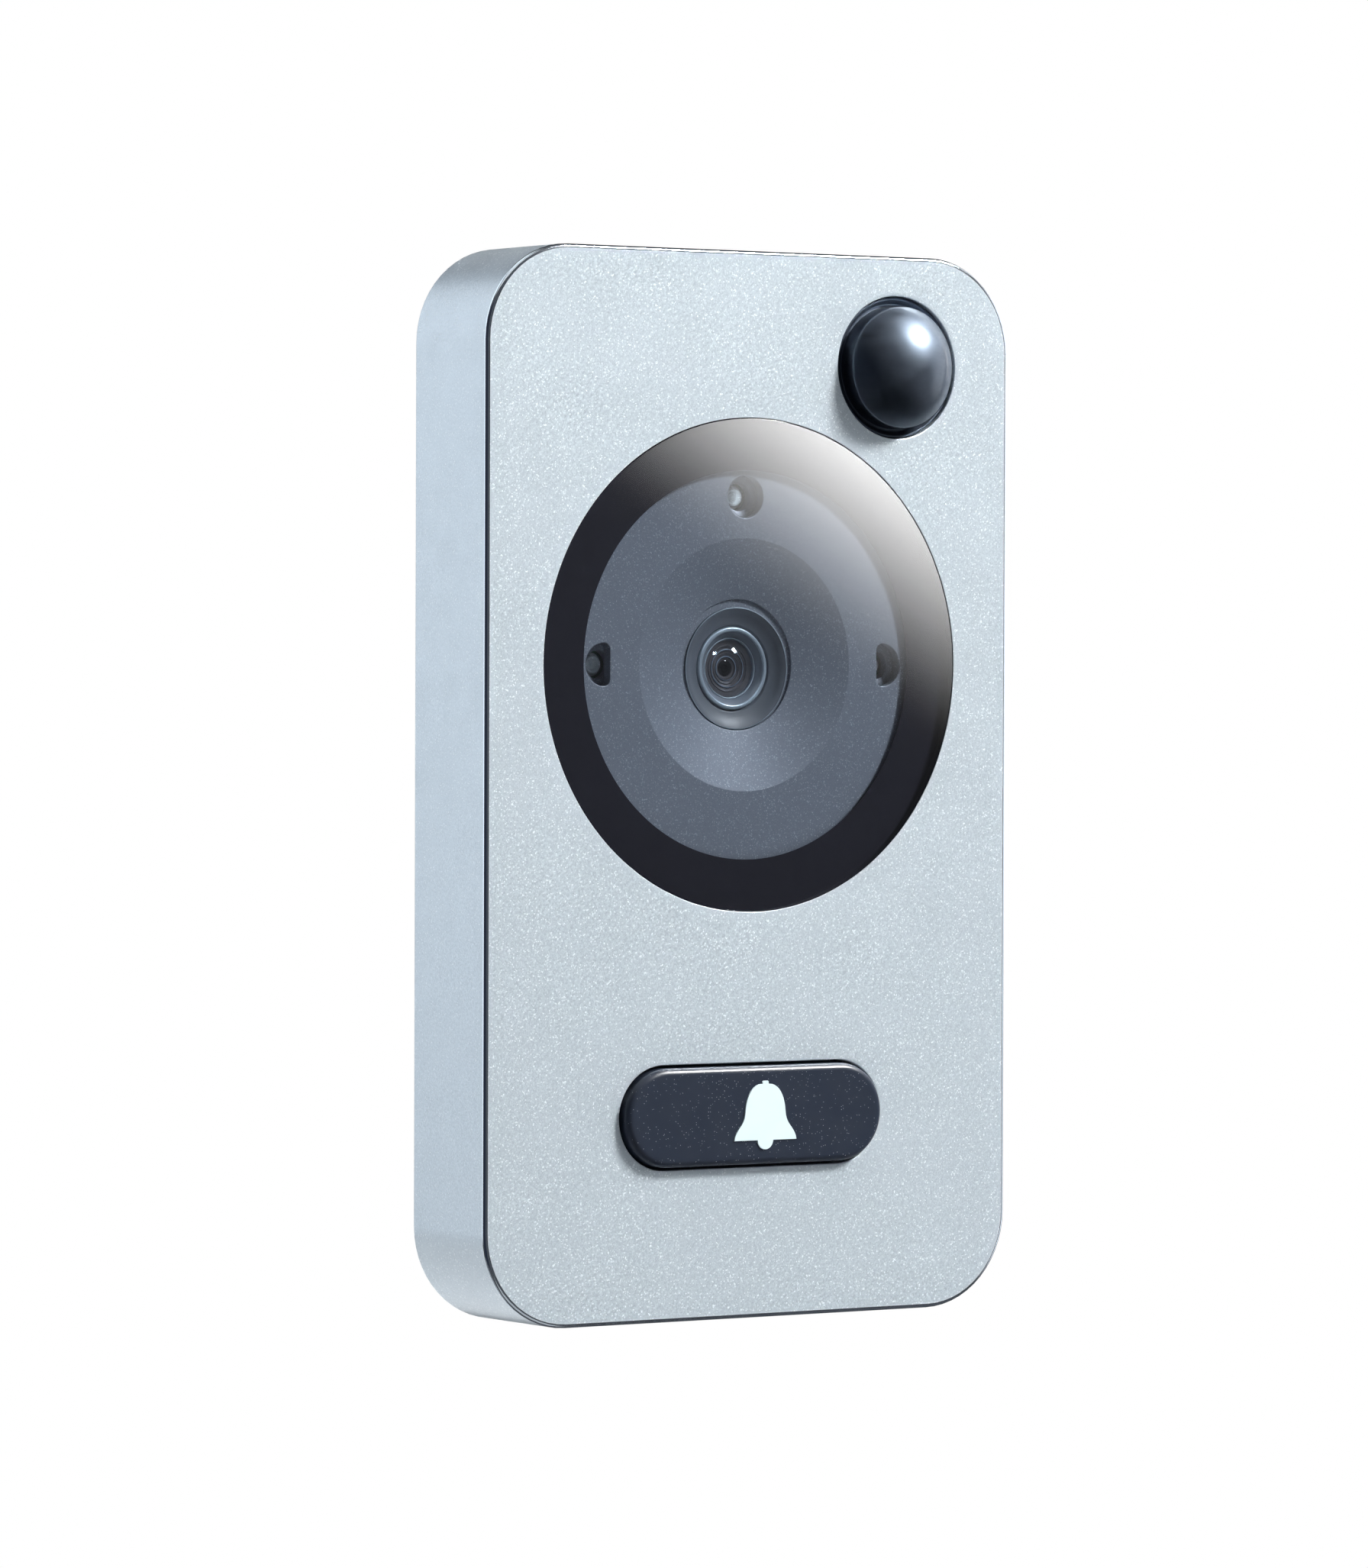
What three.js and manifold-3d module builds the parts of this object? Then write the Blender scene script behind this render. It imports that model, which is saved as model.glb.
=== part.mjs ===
// Video doorbell: the outdoor unit of a camera door viewer.
//
// Millimetres, +Z up, +X to the right as the visitor sees it, -Y towards the visitor.
// The origin is the middle of the mounting face, which lies on the door at Y = 0.
// Depths are measured inwards from the flat front face, so a negative depth stands proud of it.

import * as THREE from 'three';
import { mergeVertices } from 'three/addons/utils/BufferGeometryUtils.js';
import Module from 'manifold-3d';

const wasm = await Module();
wasm.setup();

// ---------------------------------------------------------------- driving dimensions

const BODY = { width: 70.6, height: 120, depth: 15, corner: 10.8, edge: 0.45 };
const FRONT_WALL = 2;
const SIDE_WALL = 3;
const RIM_WALL = 1.5;
const RIM_DEPTH = 3.5;

const PAD_THICKNESS = 0.8;
const PAD_PROUD = 0.6;
const PAD_INSET = 4.5;

const REAR_COVER = { thickness: 1.6, setback: 0.3 };
const SEAL = { width: 0.9, thickness: 1.3 };

const WINDOW = { height: 13.5, radius: 27.6, thickness: 1, ledge: 1.5 };
const WINDOW_POCKET_WALL = 1.8;
const TAPE = { width: 5.7, thickness: 0.2, overhang: 0.7 };

const BEZEL = { cone: 14.25, lensHole: 7.4, coneDepth: 1.65, wall: 1.2, rim: 0.8 };
const BEZEL_SLEEVE = 1.4;
const BEZEL_FLANGE = 4.4;

const LED = { inset: 3.4, margin: 0.9, flat: 0.8, radius: 1.5, flange: 0.4, length: 5.3 };
const LED_RECESS = 1.7;
const LED_LEAD = { size: 0.5, pitch: 2 };

const LENS = { radius: 6, ring: 4.4, element: 3.5, bore: 3.9, rise: 0.9 };
const LENS_FLANGE_DEPTH = 0.8;
const LENS_FUNNEL = 0.6;
const LENS_RING_THICKNESS = 0.7;
const LENS_HOLDER = { wall: 1.35, height: 3.4 };
const SENSOR_CHIP = { size: 7, thickness: 0.9 };

const PIR = { x: 19.7, z: 47.4, radius: 6.9, margin: 1.2, rim: 1.1, rise: 3.8, wall: 1 };
const PIR_FLANGE = { overlap: 1.5, thickness: 1 };
const PIR_GASKET_THICKNESS = 0.8;
const PIR_RETAINER = { thickness: 1.2, band: 2.1 };
const PIR_POCKET_WALL = 1.2;
const PIR_CAN = { radius: 4.55, brim: 5, brimThickness: 0.5, height: 4.1 };
const PIR_FILTER = { width: 4, height: 3, thickness: 0.25 };

const BUTTON = { z: -37.1, length: 34.6, height: 11.1, proud: 1.2, edge: 0.8, wall: 1.2 };
const BUTTON_TRAVEL = 0.7;
const BUTTON_FLANGE = { overlap: 1.2, thickness: 1 };
const BUTTON_STEM = 1.5;
const BUTTON_PIN = { radius: 1.2, spacing: 24 };
const SPRING = { coil: 2, wire: 0.25, turns: 5 };

const BELL = { x: 1.1, width: 8.4, height: 6.3, waist: 5.7, clapper: 1.05, knob: 0.4 };
const BELL_PRINT = 0.12;

const SWITCH = { size: 6, height: 2.2, plunger: 1.6, plungerLength: 1.8 };

const BOARD = { depth: 10, thickness: 1.2, inset: 1.4, corner: 8 };
const BOARD_POST = 2.4;
const BOARD_POSTS = [[-26, -22], [26, -22], [-24, 48]];

const BOSS = { radius: 2.8, x: 28.8, levels: [31, -46] };
const BOARD_SCREW = { shank: 0.95, head: 1.9, headHeight: 1.2, length: 5 };
const COVER_SCREW = { shank: 1.1, head: 2.2, headHeight: 1.1, length: 8 };

const INSERT = { radius: 2.6, bore: 1.65, length: 6, spacing: 100, wall: 1.2 };

const OUTLET = { x: 0, z: -22, radius: 6.1, bore: 4.5, boardHole: 5 };
const GROMMET = { lip: 1.4, lipThickness: 0.9 };

const SOCKET = { x: 14.5, width: 6.2, height: 6.4, length: 10.8, wall: 0.9, contacts: 4, pitch: 2 };

// Clearances between separate pieces.
const LAYER_GAP = 0.15;
const FIT_GAP = 0.3;
const RUNNING_GAP = 0.33;
const WINDOW_GAP = 0.2;
const PLUNGER_GAP = 0.05;
const CUT = 1;

// Facets round a full circle, by the size of the piece.
const FINE = 72;
const MEDIUM = 36;
const COARSE = 20;
const TINY = 12;

// ---------------------------------------------------------------- derived places

const FACE_Y = -(BODY.depth + PAD_PROUD);
const at = (depth) => FACE_Y + depth;

const TAPE_INSIDE = WINDOW.radius - TAPE.width;
const LEDGE_RADIUS = TAPE_INSIDE + TAPE.overhang;
const TAPE_FRONT = WINDOW.thickness + LAYER_GAP;
const BEZEL_FRONT = TAPE_FRONT + TAPE.thickness + LAYER_GAP;
const LEDGE_BACK = BEZEL_FRONT + WINDOW.ledge;
const BEZEL_RADIUS = LEDGE_RADIUS - FIT_GAP;
const BEZEL_CONE_END = BEZEL_FRONT + BEZEL.coneDepth;
const BEZEL_BACK = BEZEL_CONE_END + BEZEL_SLEEVE;
const WINDOW_HOLE = WINDOW.radius + WINDOW_GAP;

const LED_ORBIT = BEZEL_RADIUS - LED.inset;
const LED_OPENING = LED.radius + LED.margin;
const LED_FRONT = BEZEL_FRONT + LED_RECESS;
const LED_BACK = LED_FRONT + LED.length;

const LENS_FRONT = BEZEL_CONE_END + LENS_FLANGE_DEPTH;
const BOARD_BACK = BOARD.depth + BOARD.thickness;

const COVER_BACK = BODY.depth - REAR_COVER.setback;
const COVER_FRONT = COVER_BACK - REAR_COVER.thickness;
const SHELF = BODY.depth - RIM_DEPTH;
const SCREW_PAD = 0.5;

const PIR_HOLE = PIR.radius + PIR.margin;
const PIR_FLANGE_RADIUS = PIR_HOLE + PIR_FLANGE.overlap;

const SWITCH_FRONT = BOARD.depth - LAYER_GAP - SWITCH.height;
const PLUNGER_FRONT = SWITCH_FRONT - BUTTON_TRAVEL + 0.1;

// ---------------------------------------------------------------- solids

/** Merge a geometry's shared vertices and give it to manifold-3d, facing outwards. */
function solid(geometry) {
  geometry.deleteAttribute('normal');
  geometry.deleteAttribute('uv');
  const merged = mergeVertices(geometry, 1e-5);
  const position = merged.attributes.position.array;
  const triangles = [];
  const index = merged.index.array;
  for (let i = 0; i < index.length; i += 3) {
    const [a, b, c] = [index[i], index[i + 1], index[i + 2]];
    if (a !== b && b !== c && c !== a) triangles.push(a, b, c);
  }
  if (signedVolume(position, triangles) < 0) triangles.reverse();
  return new wasm.Manifold(new wasm.Mesh({
    numProp: 3,
    vertProperties: new Float32Array(position),
    triVerts: new Uint32Array(triangles),
  }));
}

/** Six times the volume that the triangles enclose, negative when they face inwards. */
function signedVolume(position, triangles) {
  const corner = (i) => new THREE.Vector3().fromArray(position, 3 * i);
  let sum = 0;
  for (let i = 0; i < triangles.length; i += 3) {
    const [a, b, c] = [corner(triangles[i]), corner(triangles[i + 1]), corner(triangles[i + 2])];
    sum += a.dot(b.cross(c));
  }
  return sum;
}

/** Turn a finished solid back into a geometry for a mesh. */
function geometryOf(manifold) {
  const mesh = manifold.getMesh();
  const geometry = new THREE.BufferGeometry();
  geometry.setAttribute('position', new THREE.BufferAttribute(mesh.vertProperties, 3));
  geometry.setIndex(new THREE.BufferAttribute(mesh.triVerts, 1));
  geometry.computeVertexNormals();
  return geometry;
}

/** Extrude a shape drawn in X and Z from one depth to another. */
function slab(shape, from, to, curveSegments = 12) {
  const geometry = new THREE.ExtrudeGeometry(shape, { depth: to - from, bevelEnabled: false, curveSegments });
  geometry.rotateX(Math.PI / 2);
  geometry.translate(0, at(to), 0);
  return solid(geometry);
}

/** The same, with its front edge rounded; the back edge is left sharp. */
function roundedSlab(shape, from, to, edge, curveSegments = 12) {
  const geometry = new THREE.ExtrudeGeometry(shape, {
    depth: to - from,
    bevelEnabled: true,
    bevelThickness: edge,
    bevelSize: edge,
    bevelOffset: -edge,
    bevelSegments: 3,
    curveSegments,
  });
  geometry.rotateX(Math.PI / 2);
  geometry.translate(0, at(to) + edge, 0);
  const reach = BODY.height;
  return solid(geometry).subtract(block(0, 0, 2 * reach, 2 * reach, to, to + 4 * edge));
}

/** A turned piece about the line through (x, z): its profile lists [radius, depth] points. */
function turned(profile, x = 0, z = 0, segments = MEDIUM) {
  const points = profile.map(([radius, depth]) => new THREE.Vector2(radius, at(depth)));
  const geometry = new THREE.LatheGeometry(points, segments);
  geometry.translate(x, 0, z);
  return solid(geometry);
}

/** A turned piece that is hollow on its axis, so its profile closes on itself. */
function turnedRing(profile, x = 0, z = 0, segments = MEDIUM) {
  return turned([...profile, profile[0]], x, z, segments);
}

function disc(radius, from, to, x = 0, z = 0, segments = MEDIUM) {
  return turned([[0, from], [radius, from], [radius, to], [0, to]], x, z, segments);
}

function ring(inner, outer, from, to, x = 0, z = 0, segments = MEDIUM) {
  return turnedRing([[inner, from], [outer, from], [outer, to], [inner, to]], x, z, segments);
}

/** A box centred on (x, z) between two depths. */
function block(x, z, width, height, from, to) {
  const geometry = new THREE.BoxGeometry(width, to - from, height);
  geometry.translate(x, at((from + to) / 2), z);
  return solid(geometry);
}

/** Points [radius, depth] round part of a circle in a turned profile. */
function arc(centreRadius, centreDepth, radius, startAngle, endAngle, steps) {
  const points = [];
  for (let i = 0; i <= steps; i += 1) {
    const angle = startAngle + ((endAngle - startAngle) * i) / steps;
    points.push([centreRadius + radius * Math.cos(angle), centreDepth - radius * Math.sin(angle)]);
  }
  return points;
}

// ---------------------------------------------------------------- outlines

function roundedRectangle(width, height, radius) {
  const x = width / 2 - radius;
  const y = height / 2 - radius;
  const shape = new THREE.Shape();
  shape.absarc(x, y, radius, 0, Math.PI / 2);
  shape.absarc(-x, y, radius, Math.PI / 2, Math.PI);
  shape.absarc(-x, -y, radius, Math.PI, 1.5 * Math.PI);
  shape.absarc(x, -y, radius, 1.5 * Math.PI, 2 * Math.PI);
  shape.closePath();
  return shape;
}

/** The body's outline, brought in by the same amount all round. */
function bodyOutline(inset) {
  return roundedRectangle(BODY.width - 2 * inset, BODY.height - 2 * inset, BODY.corner - inset);
}

/** A slot with round ends, centred on the button. */
function buttonOutline(margin) {
  const radius = BUTTON.height / 2 + margin;
  const x = BUTTON.length / 2 - BUTTON.height / 2;
  const shape = new THREE.Shape();
  shape.absarc(x, BUTTON.z, radius, -Math.PI / 2, Math.PI / 2);
  shape.absarc(-x, BUTTON.z, radius, Math.PI / 2, 1.5 * Math.PI);
  shape.closePath();
  return shape;
}

/** A bell with a flared lip, a small knob on top and a clapper below. */
function bellOutline() {
  const { x, width, height, waist, clapper, knob } = BELL;
  const lip = BUTTON.z - (height + knob - clapper) / 2;
  const shoulder = lip + 0.57 * height;
  const crown = lip + height;
  const shape = new THREE.Shape();
  const side = (sign, points) => shape.bezierCurveTo(...points.map((p, i) => (i % 2 ? p : x + sign * p)));
  shape.moveTo(x - width / 2, lip);
  side(-1, [width / 2, lip + 0.2 * height, waist / 2 + 0.15, lip + 0.25 * height, waist / 2, shoulder]);
  side(-1, [waist / 2 - 0.1, crown - 0.1 * height, knob + 0.9, crown, knob, crown]);
  shape.lineTo(x - knob / 2, crown + knob);
  shape.lineTo(x + knob / 2, crown + knob);
  shape.lineTo(x + knob, crown);
  side(1, [knob + 0.9, crown, waist / 2 - 0.1, crown - 0.1 * height, waist / 2, shoulder]);
  side(1, [waist / 2 + 0.15, lip + 0.25 * height, width / 2, lip + 0.2 * height, width / 2, lip]);
  shape.lineTo(x + clapper, lip);
  shape.absarc(x, lip, clapper, 0, -Math.PI, true);
  shape.closePath();
  return shape;
}

// ---------------------------------------------------------------- materials

function material(color, roughness, metalness = 0) {
  return new THREE.MeshStandardMaterial({ color, roughness, metalness });
}

const SILVER = material(0xd3d8dc, 0.35, 0.7);
const CLEAR = material(0x1b2228, 0.05);
const PRINT_BLACK = material(0x15171b, 0.3);
const SATIN_GREY = material(0x5c646c, 0.45, 0.3);
const LENS_BLACK = material(0x1a1c20, 0.25);
const GLASS = material(0x24303a, 0.05);
const DARK_METAL = material(0x50565e, 0.3, 0.9);
const LED_CLEAR = material(0xc9d0d4, 0.1);
const GLOSS_BLACK = material(0x101114, 0.08);
const SATIN_BLACK = material(0x202328, 0.45);
const WHITE_INK = material(0xf4f6f7, 0.5);
const RUBBER = material(0x17181a, 0.8);
const BOARD_GREEN = material(0x1f5a38, 0.5);
const CHIP_BLACK = material(0x202224, 0.6);
const TIN = material(0xb9bcc0, 0.35, 0.9);
const IVORY = material(0xe3ddc9, 0.5);
const BRASS = material(0xb08d4c, 0.35, 0.9);
const STEEL = material(0xa9adb2, 0.3, 0.9);
const REAR_BLACK = material(0x222427, 0.6);
const FOAM = material(0x2c2d30, 0.95);

// ---------------------------------------------------------------- housing

/** The places of the four screws that hold the rear cover. */
function coverScrewPlaces() {
  return BOSS.levels.flatMap((z) => [[-BOSS.x, z], [BOSS.x, z]]);
}

/** The places of the two threaded inserts in the rear cover. */
function insertPlaces() {
  return [INSERT.spacing / 2, -INSERT.spacing / 2].map((z) => [0, z]);
}

/** A screw boss with its pilot hole, standing on the back of the front wall. */
function boss(x, z, radius, pilot, back) {
  const post = disc(radius, FRONT_WALL - FIT_GAP, back, x, z, COARSE);
  return post.subtract(disc(pilot, FRONT_WALL + CUT, back + CUT, x, z, TINY));
}

function frontCover() {
  const pocketRadius = WINDOW_HOLE + WINDOW_POCKET_WALL;
  const pirPocket = PIR_FLANGE_RADIUS + FIT_GAP;
  const retainerBack = FRONT_WALL + 3 * LAYER_GAP + PIR_GASKET_THICKNESS + PIR_FLANGE.thickness;
  let cover = roundedSlab(bodyOutline(0), 0, BODY.depth, BODY.edge, 9)
    .subtract(slab(bodyOutline(SIDE_WALL), FRONT_WALL, BODY.depth + CUT, 6))
    .subtract(slab(bodyOutline(RIM_WALL), SHELF, BODY.depth + CUT, 6))
    .add(disc(pocketRadius, FRONT_WALL - FIT_GAP, LEDGE_BACK, 0, WINDOW.height, MEDIUM))
    .subtract(disc(WINDOW_HOLE, -CUT, BEZEL_FRONT, 0, WINDOW.height, FINE))
    .subtract(disc(LEDGE_RADIUS, 0, LEDGE_BACK + CUT, 0, WINDOW.height, FINE))
    .add(ring(pirPocket, pirPocket + PIR_POCKET_WALL, FRONT_WALL - FIT_GAP,
      retainerBack + PIR_RETAINER.thickness, PIR.x, PIR.z, MEDIUM))
    .subtract(disc(PIR_HOLE, -CUT, FRONT_WALL + CUT, PIR.x, PIR.z, MEDIUM))
    .subtract(slab(buttonOutline(RUNNING_GAP), -CUT, FRONT_WALL + CUT, 14));
  for (const [x, z] of coverScrewPlaces()) {
    cover = cover.add(boss(x, z, BOSS.radius, COVER_SCREW.shank + LAYER_GAP, COVER_FRONT - SCREW_PAD - FIT_GAP));
  }
  for (const [x, z] of BOARD_POSTS) {
    cover = cover.add(boss(x, z, BOARD_POST, BOARD_SCREW.shank + LAYER_GAP, BOARD.depth - LAYER_GAP));
  }
  return cover;
}

function rearCover() {
  let cover = slab(bodyOutline(RIM_WALL + FIT_GAP), COVER_FRONT, COVER_BACK, 6);
  for (const [x, z] of coverScrewPlaces()) {
    cover = cover.add(disc(BOSS.radius + FIT_GAP, COVER_FRONT - SCREW_PAD, COVER_BACK, x, z, COARSE))
      .subtract(disc(COVER_SCREW.head + FIT_GAP, COVER_BACK - COVER_SCREW.headHeight - 2 * LAYER_GAP,
        COVER_BACK + CUT, x, z, COARSE))
      .subtract(disc(COVER_SCREW.shank + FIT_GAP, COVER_FRONT - 2 * CUT, COVER_BACK + CUT, x, z, TINY));
  }
  for (const [x, z] of insertPlaces()) {
    const bore = INSERT.radius + LAYER_GAP;
    cover = cover.add(disc(bore + INSERT.wall, COVER_BACK - INSERT.length - FIT_GAP, COVER_BACK, x, z, COARSE))
      .subtract(disc(bore, COVER_BACK - INSERT.length - 2 * CUT, COVER_BACK + CUT, x, z, COARSE));
  }
  return cover.subtract(disc(OUTLET.radius, COVER_FRONT - CUT, COVER_BACK + CUT, OUTLET.x, OUTLET.z, COARSE));
}

function coverSeal() {
  const inset = RIM_WALL + FIT_GAP;
  const [front, back] = [COVER_FRONT - LAYER_GAP - SEAL.thickness, COVER_FRONT - LAYER_GAP];
  return slab(bodyOutline(inset), front, back, 6)
    .subtract(slab(bodyOutline(inset + SEAL.width), front - CUT, back + CUT, 6));
}

function mountingPad() {
  const pad = slab(bodyOutline(PAD_INSET), BODY.depth + PAD_PROUD - PAD_THICKNESS, BODY.depth + PAD_PROUD, 6);
  const [front, back] = [COVER_BACK - CUT, BODY.depth + PAD_PROUD + CUT];
  const holes = [
    [OUTLET.x, OUTLET.z, OUTLET.radius + CUT],
    ...insertPlaces().map(([x, z]) => [x, z, INSERT.radius + CUT]),
    ...coverScrewPlaces().map(([x, z]) => [x, z, COVER_SCREW.head + CUT]),
  ];
  return holes.reduce((rest, [x, z, radius]) => rest.subtract(disc(radius, front, back, x, z, COARSE)), pad);
}

function threadedInsert(x, z) {
  const { radius, bore, length } = INSERT;
  const front = COVER_BACK - length;
  const middle = COVER_BACK - length / 2;
  const groove = 0.4;
  return turnedRing([
    [bore, front], [radius, front], [radius, middle - groove], [radius - groove, middle - groove],
    [radius - groove, middle + groove], [radius, middle + groove], [radius, COVER_BACK], [bore, COVER_BACK],
  ], x, z, COARSE);
}

/** A pan-head screw whose head is towards the door, with a cross recess. */
function screw(x, z, headFront, { shank, head, headHeight, length }) {
  const back = headFront + headHeight;
  const recess = { arm: 1.3 * head, width: 0.3 * head, depth: 0.5 * headHeight };
  const dome = [[head, headFront + 0.5 * headHeight], [0.8 * head, back - 0.1 * headHeight], [0.5 * head, back], [0, back]];
  const tip = headFront - length;
  const body = turned([[0, tip], [0.5 * shank, tip], [shank, tip + shank], [shank, headFront], [head, headFront], ...dome],
    x, z, TINY);
  return body
    .subtract(block(x, z, recess.arm, recess.width, back - recess.depth, back + CUT))
    .subtract(block(x, z, recess.width, recess.arm, back - recess.depth, back + CUT));
}

function cableGrommet() {
  const neck = OUTLET.radius - LAYER_GAP;
  const lip = OUTLET.radius + GROMMET.lip;
  const lipBack = COVER_FRONT - LAYER_GAP;
  return turnedRing([
    [OUTLET.bore, lipBack - GROMMET.lipThickness], [lip, lipBack - GROMMET.lipThickness], [lip, lipBack],
    [neck, lipBack], [neck, COVER_BACK], [OUTLET.bore, COVER_BACK],
  ], OUTLET.x, OUTLET.z, COARSE);
}

// ---------------------------------------------------------------- camera behind its window

function windowDisc() {
  const { radius, thickness, height } = WINDOW;
  const chamfer = 0.15;
  return turned([[0, 0], [radius - chamfer, 0], [radius, chamfer], [radius, thickness], [0, thickness]], 0, height, FINE);
}

function windowTape() {
  return ring(TAPE_INSIDE, WINDOW.radius, TAPE_FRONT, TAPE_FRONT + TAPE.thickness, 0, WINDOW.height, FINE);
}

/** The middle of each infrared lamp, and the way its half-round opening faces. */
function ledPlaces() {
  return [
    { side: 'left', x: -LED_ORBIT, z: WINDOW.height, sign: -1 },
    { side: 'right', x: LED_ORBIT, z: WINDOW.height, sign: 1 },
    { side: 'top', x: 0, z: WINDOW.height + LED_ORBIT, sign: 0 },
  ];
}

function cameraBezel() {
  const { cone, lensHole, wall, rim } = BEZEL;
  const sleeve = lensHole + wall;
  const coneBackAtSleeve = BEZEL_FRONT + wall + BEZEL.coneDepth * ((cone - sleeve) / (cone - lensHole));
  const flangeFront = LEDGE_BACK + FIT_GAP;
  const flange = BEZEL_RADIUS + BEZEL_FLANGE;
  const inside = BEZEL_RADIUS - rim;
  let bezel = turnedRing([
    [lensHole, BEZEL_CONE_END], [cone, BEZEL_FRONT], [BEZEL_RADIUS, BEZEL_FRONT], [BEZEL_RADIUS, flangeFront],
    [flange, flangeFront], [flange, flangeFront + wall], [inside, flangeFront + wall], [inside, BEZEL_FRONT + wall],
    [cone, BEZEL_FRONT + wall], [sleeve, coneBackAtSleeve], [sleeve, BEZEL_BACK], [lensHole, BEZEL_BACK],
  ], 0, WINDOW.height, FINE);
  for (const { x, z, sign } of ledPlaces()) {
    let opening = disc(LED_OPENING, 0, BEZEL_FRONT + wall + CUT / 2, x, z, COARSE);
    if (sign) {
      const reach = 2 * LED_OPENING;
      opening = opening.subtract(block(sign * (LED_ORBIT - LED.flat - reach / 2), z, reach, reach, -CUT, BEZEL_BACK));
    }
    bezel = bezel.subtract(opening);
  }
  return bezel;
}

function lensBarrel() {
  const flange = BEZEL.lensHole - FIT_GAP;
  const { radius, bore, ring: ringRadius } = LENS;
  const seat = LENS_FRONT + LENS_FUNNEL + LENS_RING_THICKNESS;
  const back = BOARD.depth - SENSOR_CHIP.thickness - 3 * LAYER_GAP;
  const ringBore = ringRadius + LAYER_GAP;
  return turnedRing([
    [flange, LENS_FRONT], [flange, LENS_FRONT + 2 * LENS_FUNNEL], [radius, LENS_FRONT + 3 * LENS_FUNNEL], [radius, back],
    [bore, back], [bore, seat], [ringBore, seat], [ringBore, LENS_FRONT + LENS_FUNNEL],
  ], 0, WINDOW.height);
}

function lensRing() {
  const front = LENS_FRONT + LENS_FUNNEL;
  const { ring: outer, element } = LENS;
  const inner = element + LAYER_GAP;
  const back = front + LENS_RING_THICKNESS - LAYER_GAP;
  const bevel = 0.25;
  return turnedRing([[inner, front + bevel], [inner + bevel, front], [outer, front], [outer, back], [inner, back]],
    0, WINDOW.height);
}

function frontLens() {
  const { element, rise } = LENS;
  const front = LENS_FRONT + LENS_FUNNEL;
  const edge = front + rise;
  const sphere = (element * element + rise * rise) / (2 * rise);
  const half = Math.asin(element / sphere);
  const cap = arc(0, front + sphere, sphere, Math.PI / 2, Math.PI / 2 - half, 6);
  return turned([...cap, [element, edge + 2 * rise], [0, edge + 2 * rise]], 0, WINDOW.height, COARSE);
}

function lensHolder() {
  const { wall, height } = LENS_HOLDER;
  const bore = LENS.radius + LAYER_GAP;
  const size = 2 * (bore + wall);
  const back = BOARD.depth - LAYER_GAP;
  return block(0, WINDOW.height, size, size, back - height, back)
    .subtract(disc(bore, 0, BODY.depth, 0, WINDOW.height));
}

function imageSensor() {
  const back = BOARD.depth - LAYER_GAP;
  return block(0, WINDOW.height, SENSOR_CHIP.size, SENSOR_CHIP.size, back - SENSOR_CHIP.thickness, back);
}

function infraredLed({ x, z }) {
  const { radius } = LED;
  const flange = radius + LED.flange;
  const dome = arc(0, LED_FRONT + radius, radius, Math.PI / 2, 0, 5);
  let led = turned([...dome, [radius, LED_BACK - 1], [flange, LED_BACK - 1], [flange, LED_BACK], [0, LED_BACK]], x, z, COARSE);
  for (const sign of [-1, 1]) {
    led = led.add(block(x, z + (sign * LED_LEAD.pitch) / 2, LED_LEAD.size, LED_LEAD.size,
      LED_BACK - 0.5, BOARD.depth - LAYER_GAP));
  }
  return led;
}

// ---------------------------------------------------------------- motion sensor

const PIR_GASKET_FRONT = FRONT_WALL + LAYER_GAP;
const PIR_FLANGE_FRONT = PIR_GASKET_FRONT + PIR_GASKET_THICKNESS + LAYER_GAP;
const PIR_RETAINER_FRONT = PIR_FLANGE_FRONT + PIR_FLANGE.thickness + LAYER_GAP;

function pirDome() {
  const { radius, rim, rise, wall } = PIR;
  const sphere = (radius * radius + rise * rise) / (2 * rise);
  const centre = -rim - rise + sphere;
  const inner = sphere - wall;
  const outerHalf = Math.asin(radius / sphere);
  const innerHalf = Math.asin((radius - wall) / inner);
  const back = PIR_FLANGE_FRONT + PIR_FLANGE.thickness;
  return turned([
    ...arc(0, centre, inner, Math.PI / 2, Math.PI / 2 - innerHalf, 5),
    [radius - wall, back], [PIR_FLANGE_RADIUS, back], [PIR_FLANGE_RADIUS, PIR_FLANGE_FRONT], [radius, PIR_FLANGE_FRONT],
    ...arc(0, centre, sphere, Math.PI / 2 - outerHalf, Math.PI / 2, 8),
  ], PIR.x, PIR.z);
}

function pirGasket() {
  return ring(PIR_HOLE + FIT_GAP, PIR_FLANGE_RADIUS, PIR_GASKET_FRONT, PIR_GASKET_FRONT + PIR_GASKET_THICKNESS,
    PIR.x, PIR.z);
}

function pirRetainer() {
  const { band, thickness } = PIR_RETAINER;
  return ring(PIR_FLANGE_RADIUS - band, PIR_FLANGE_RADIUS, PIR_RETAINER_FRONT, PIR_RETAINER_FRONT + thickness,
    PIR.x, PIR.z);
}

function pirCan() {
  const { radius, brim, brimThickness, height } = PIR_CAN;
  const back = BOARD.depth - LAYER_GAP;
  const front = back - height;
  const round = 0.4;
  return turned([
    [0, front], [radius - round, front], [radius, front + round], [radius, back - brimThickness],
    [brim, back - brimThickness], [brim, back], [0, back],
  ], PIR.x, PIR.z, COARSE);
}

function pirFilter() {
  const back = BOARD.depth - 2 * LAYER_GAP - PIR_CAN.height;
  return block(PIR.x, PIR.z, PIR_FILTER.width, PIR_FILTER.height, back - PIR_FILTER.thickness, back);
}

// ---------------------------------------------------------------- call button

const BUTTON_FLANGE_FRONT = FRONT_WALL + FIT_GAP;
const BUTTON_FLANGE_BACK = BUTTON_FLANGE_FRONT + BUTTON_FLANGE.thickness;

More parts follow.
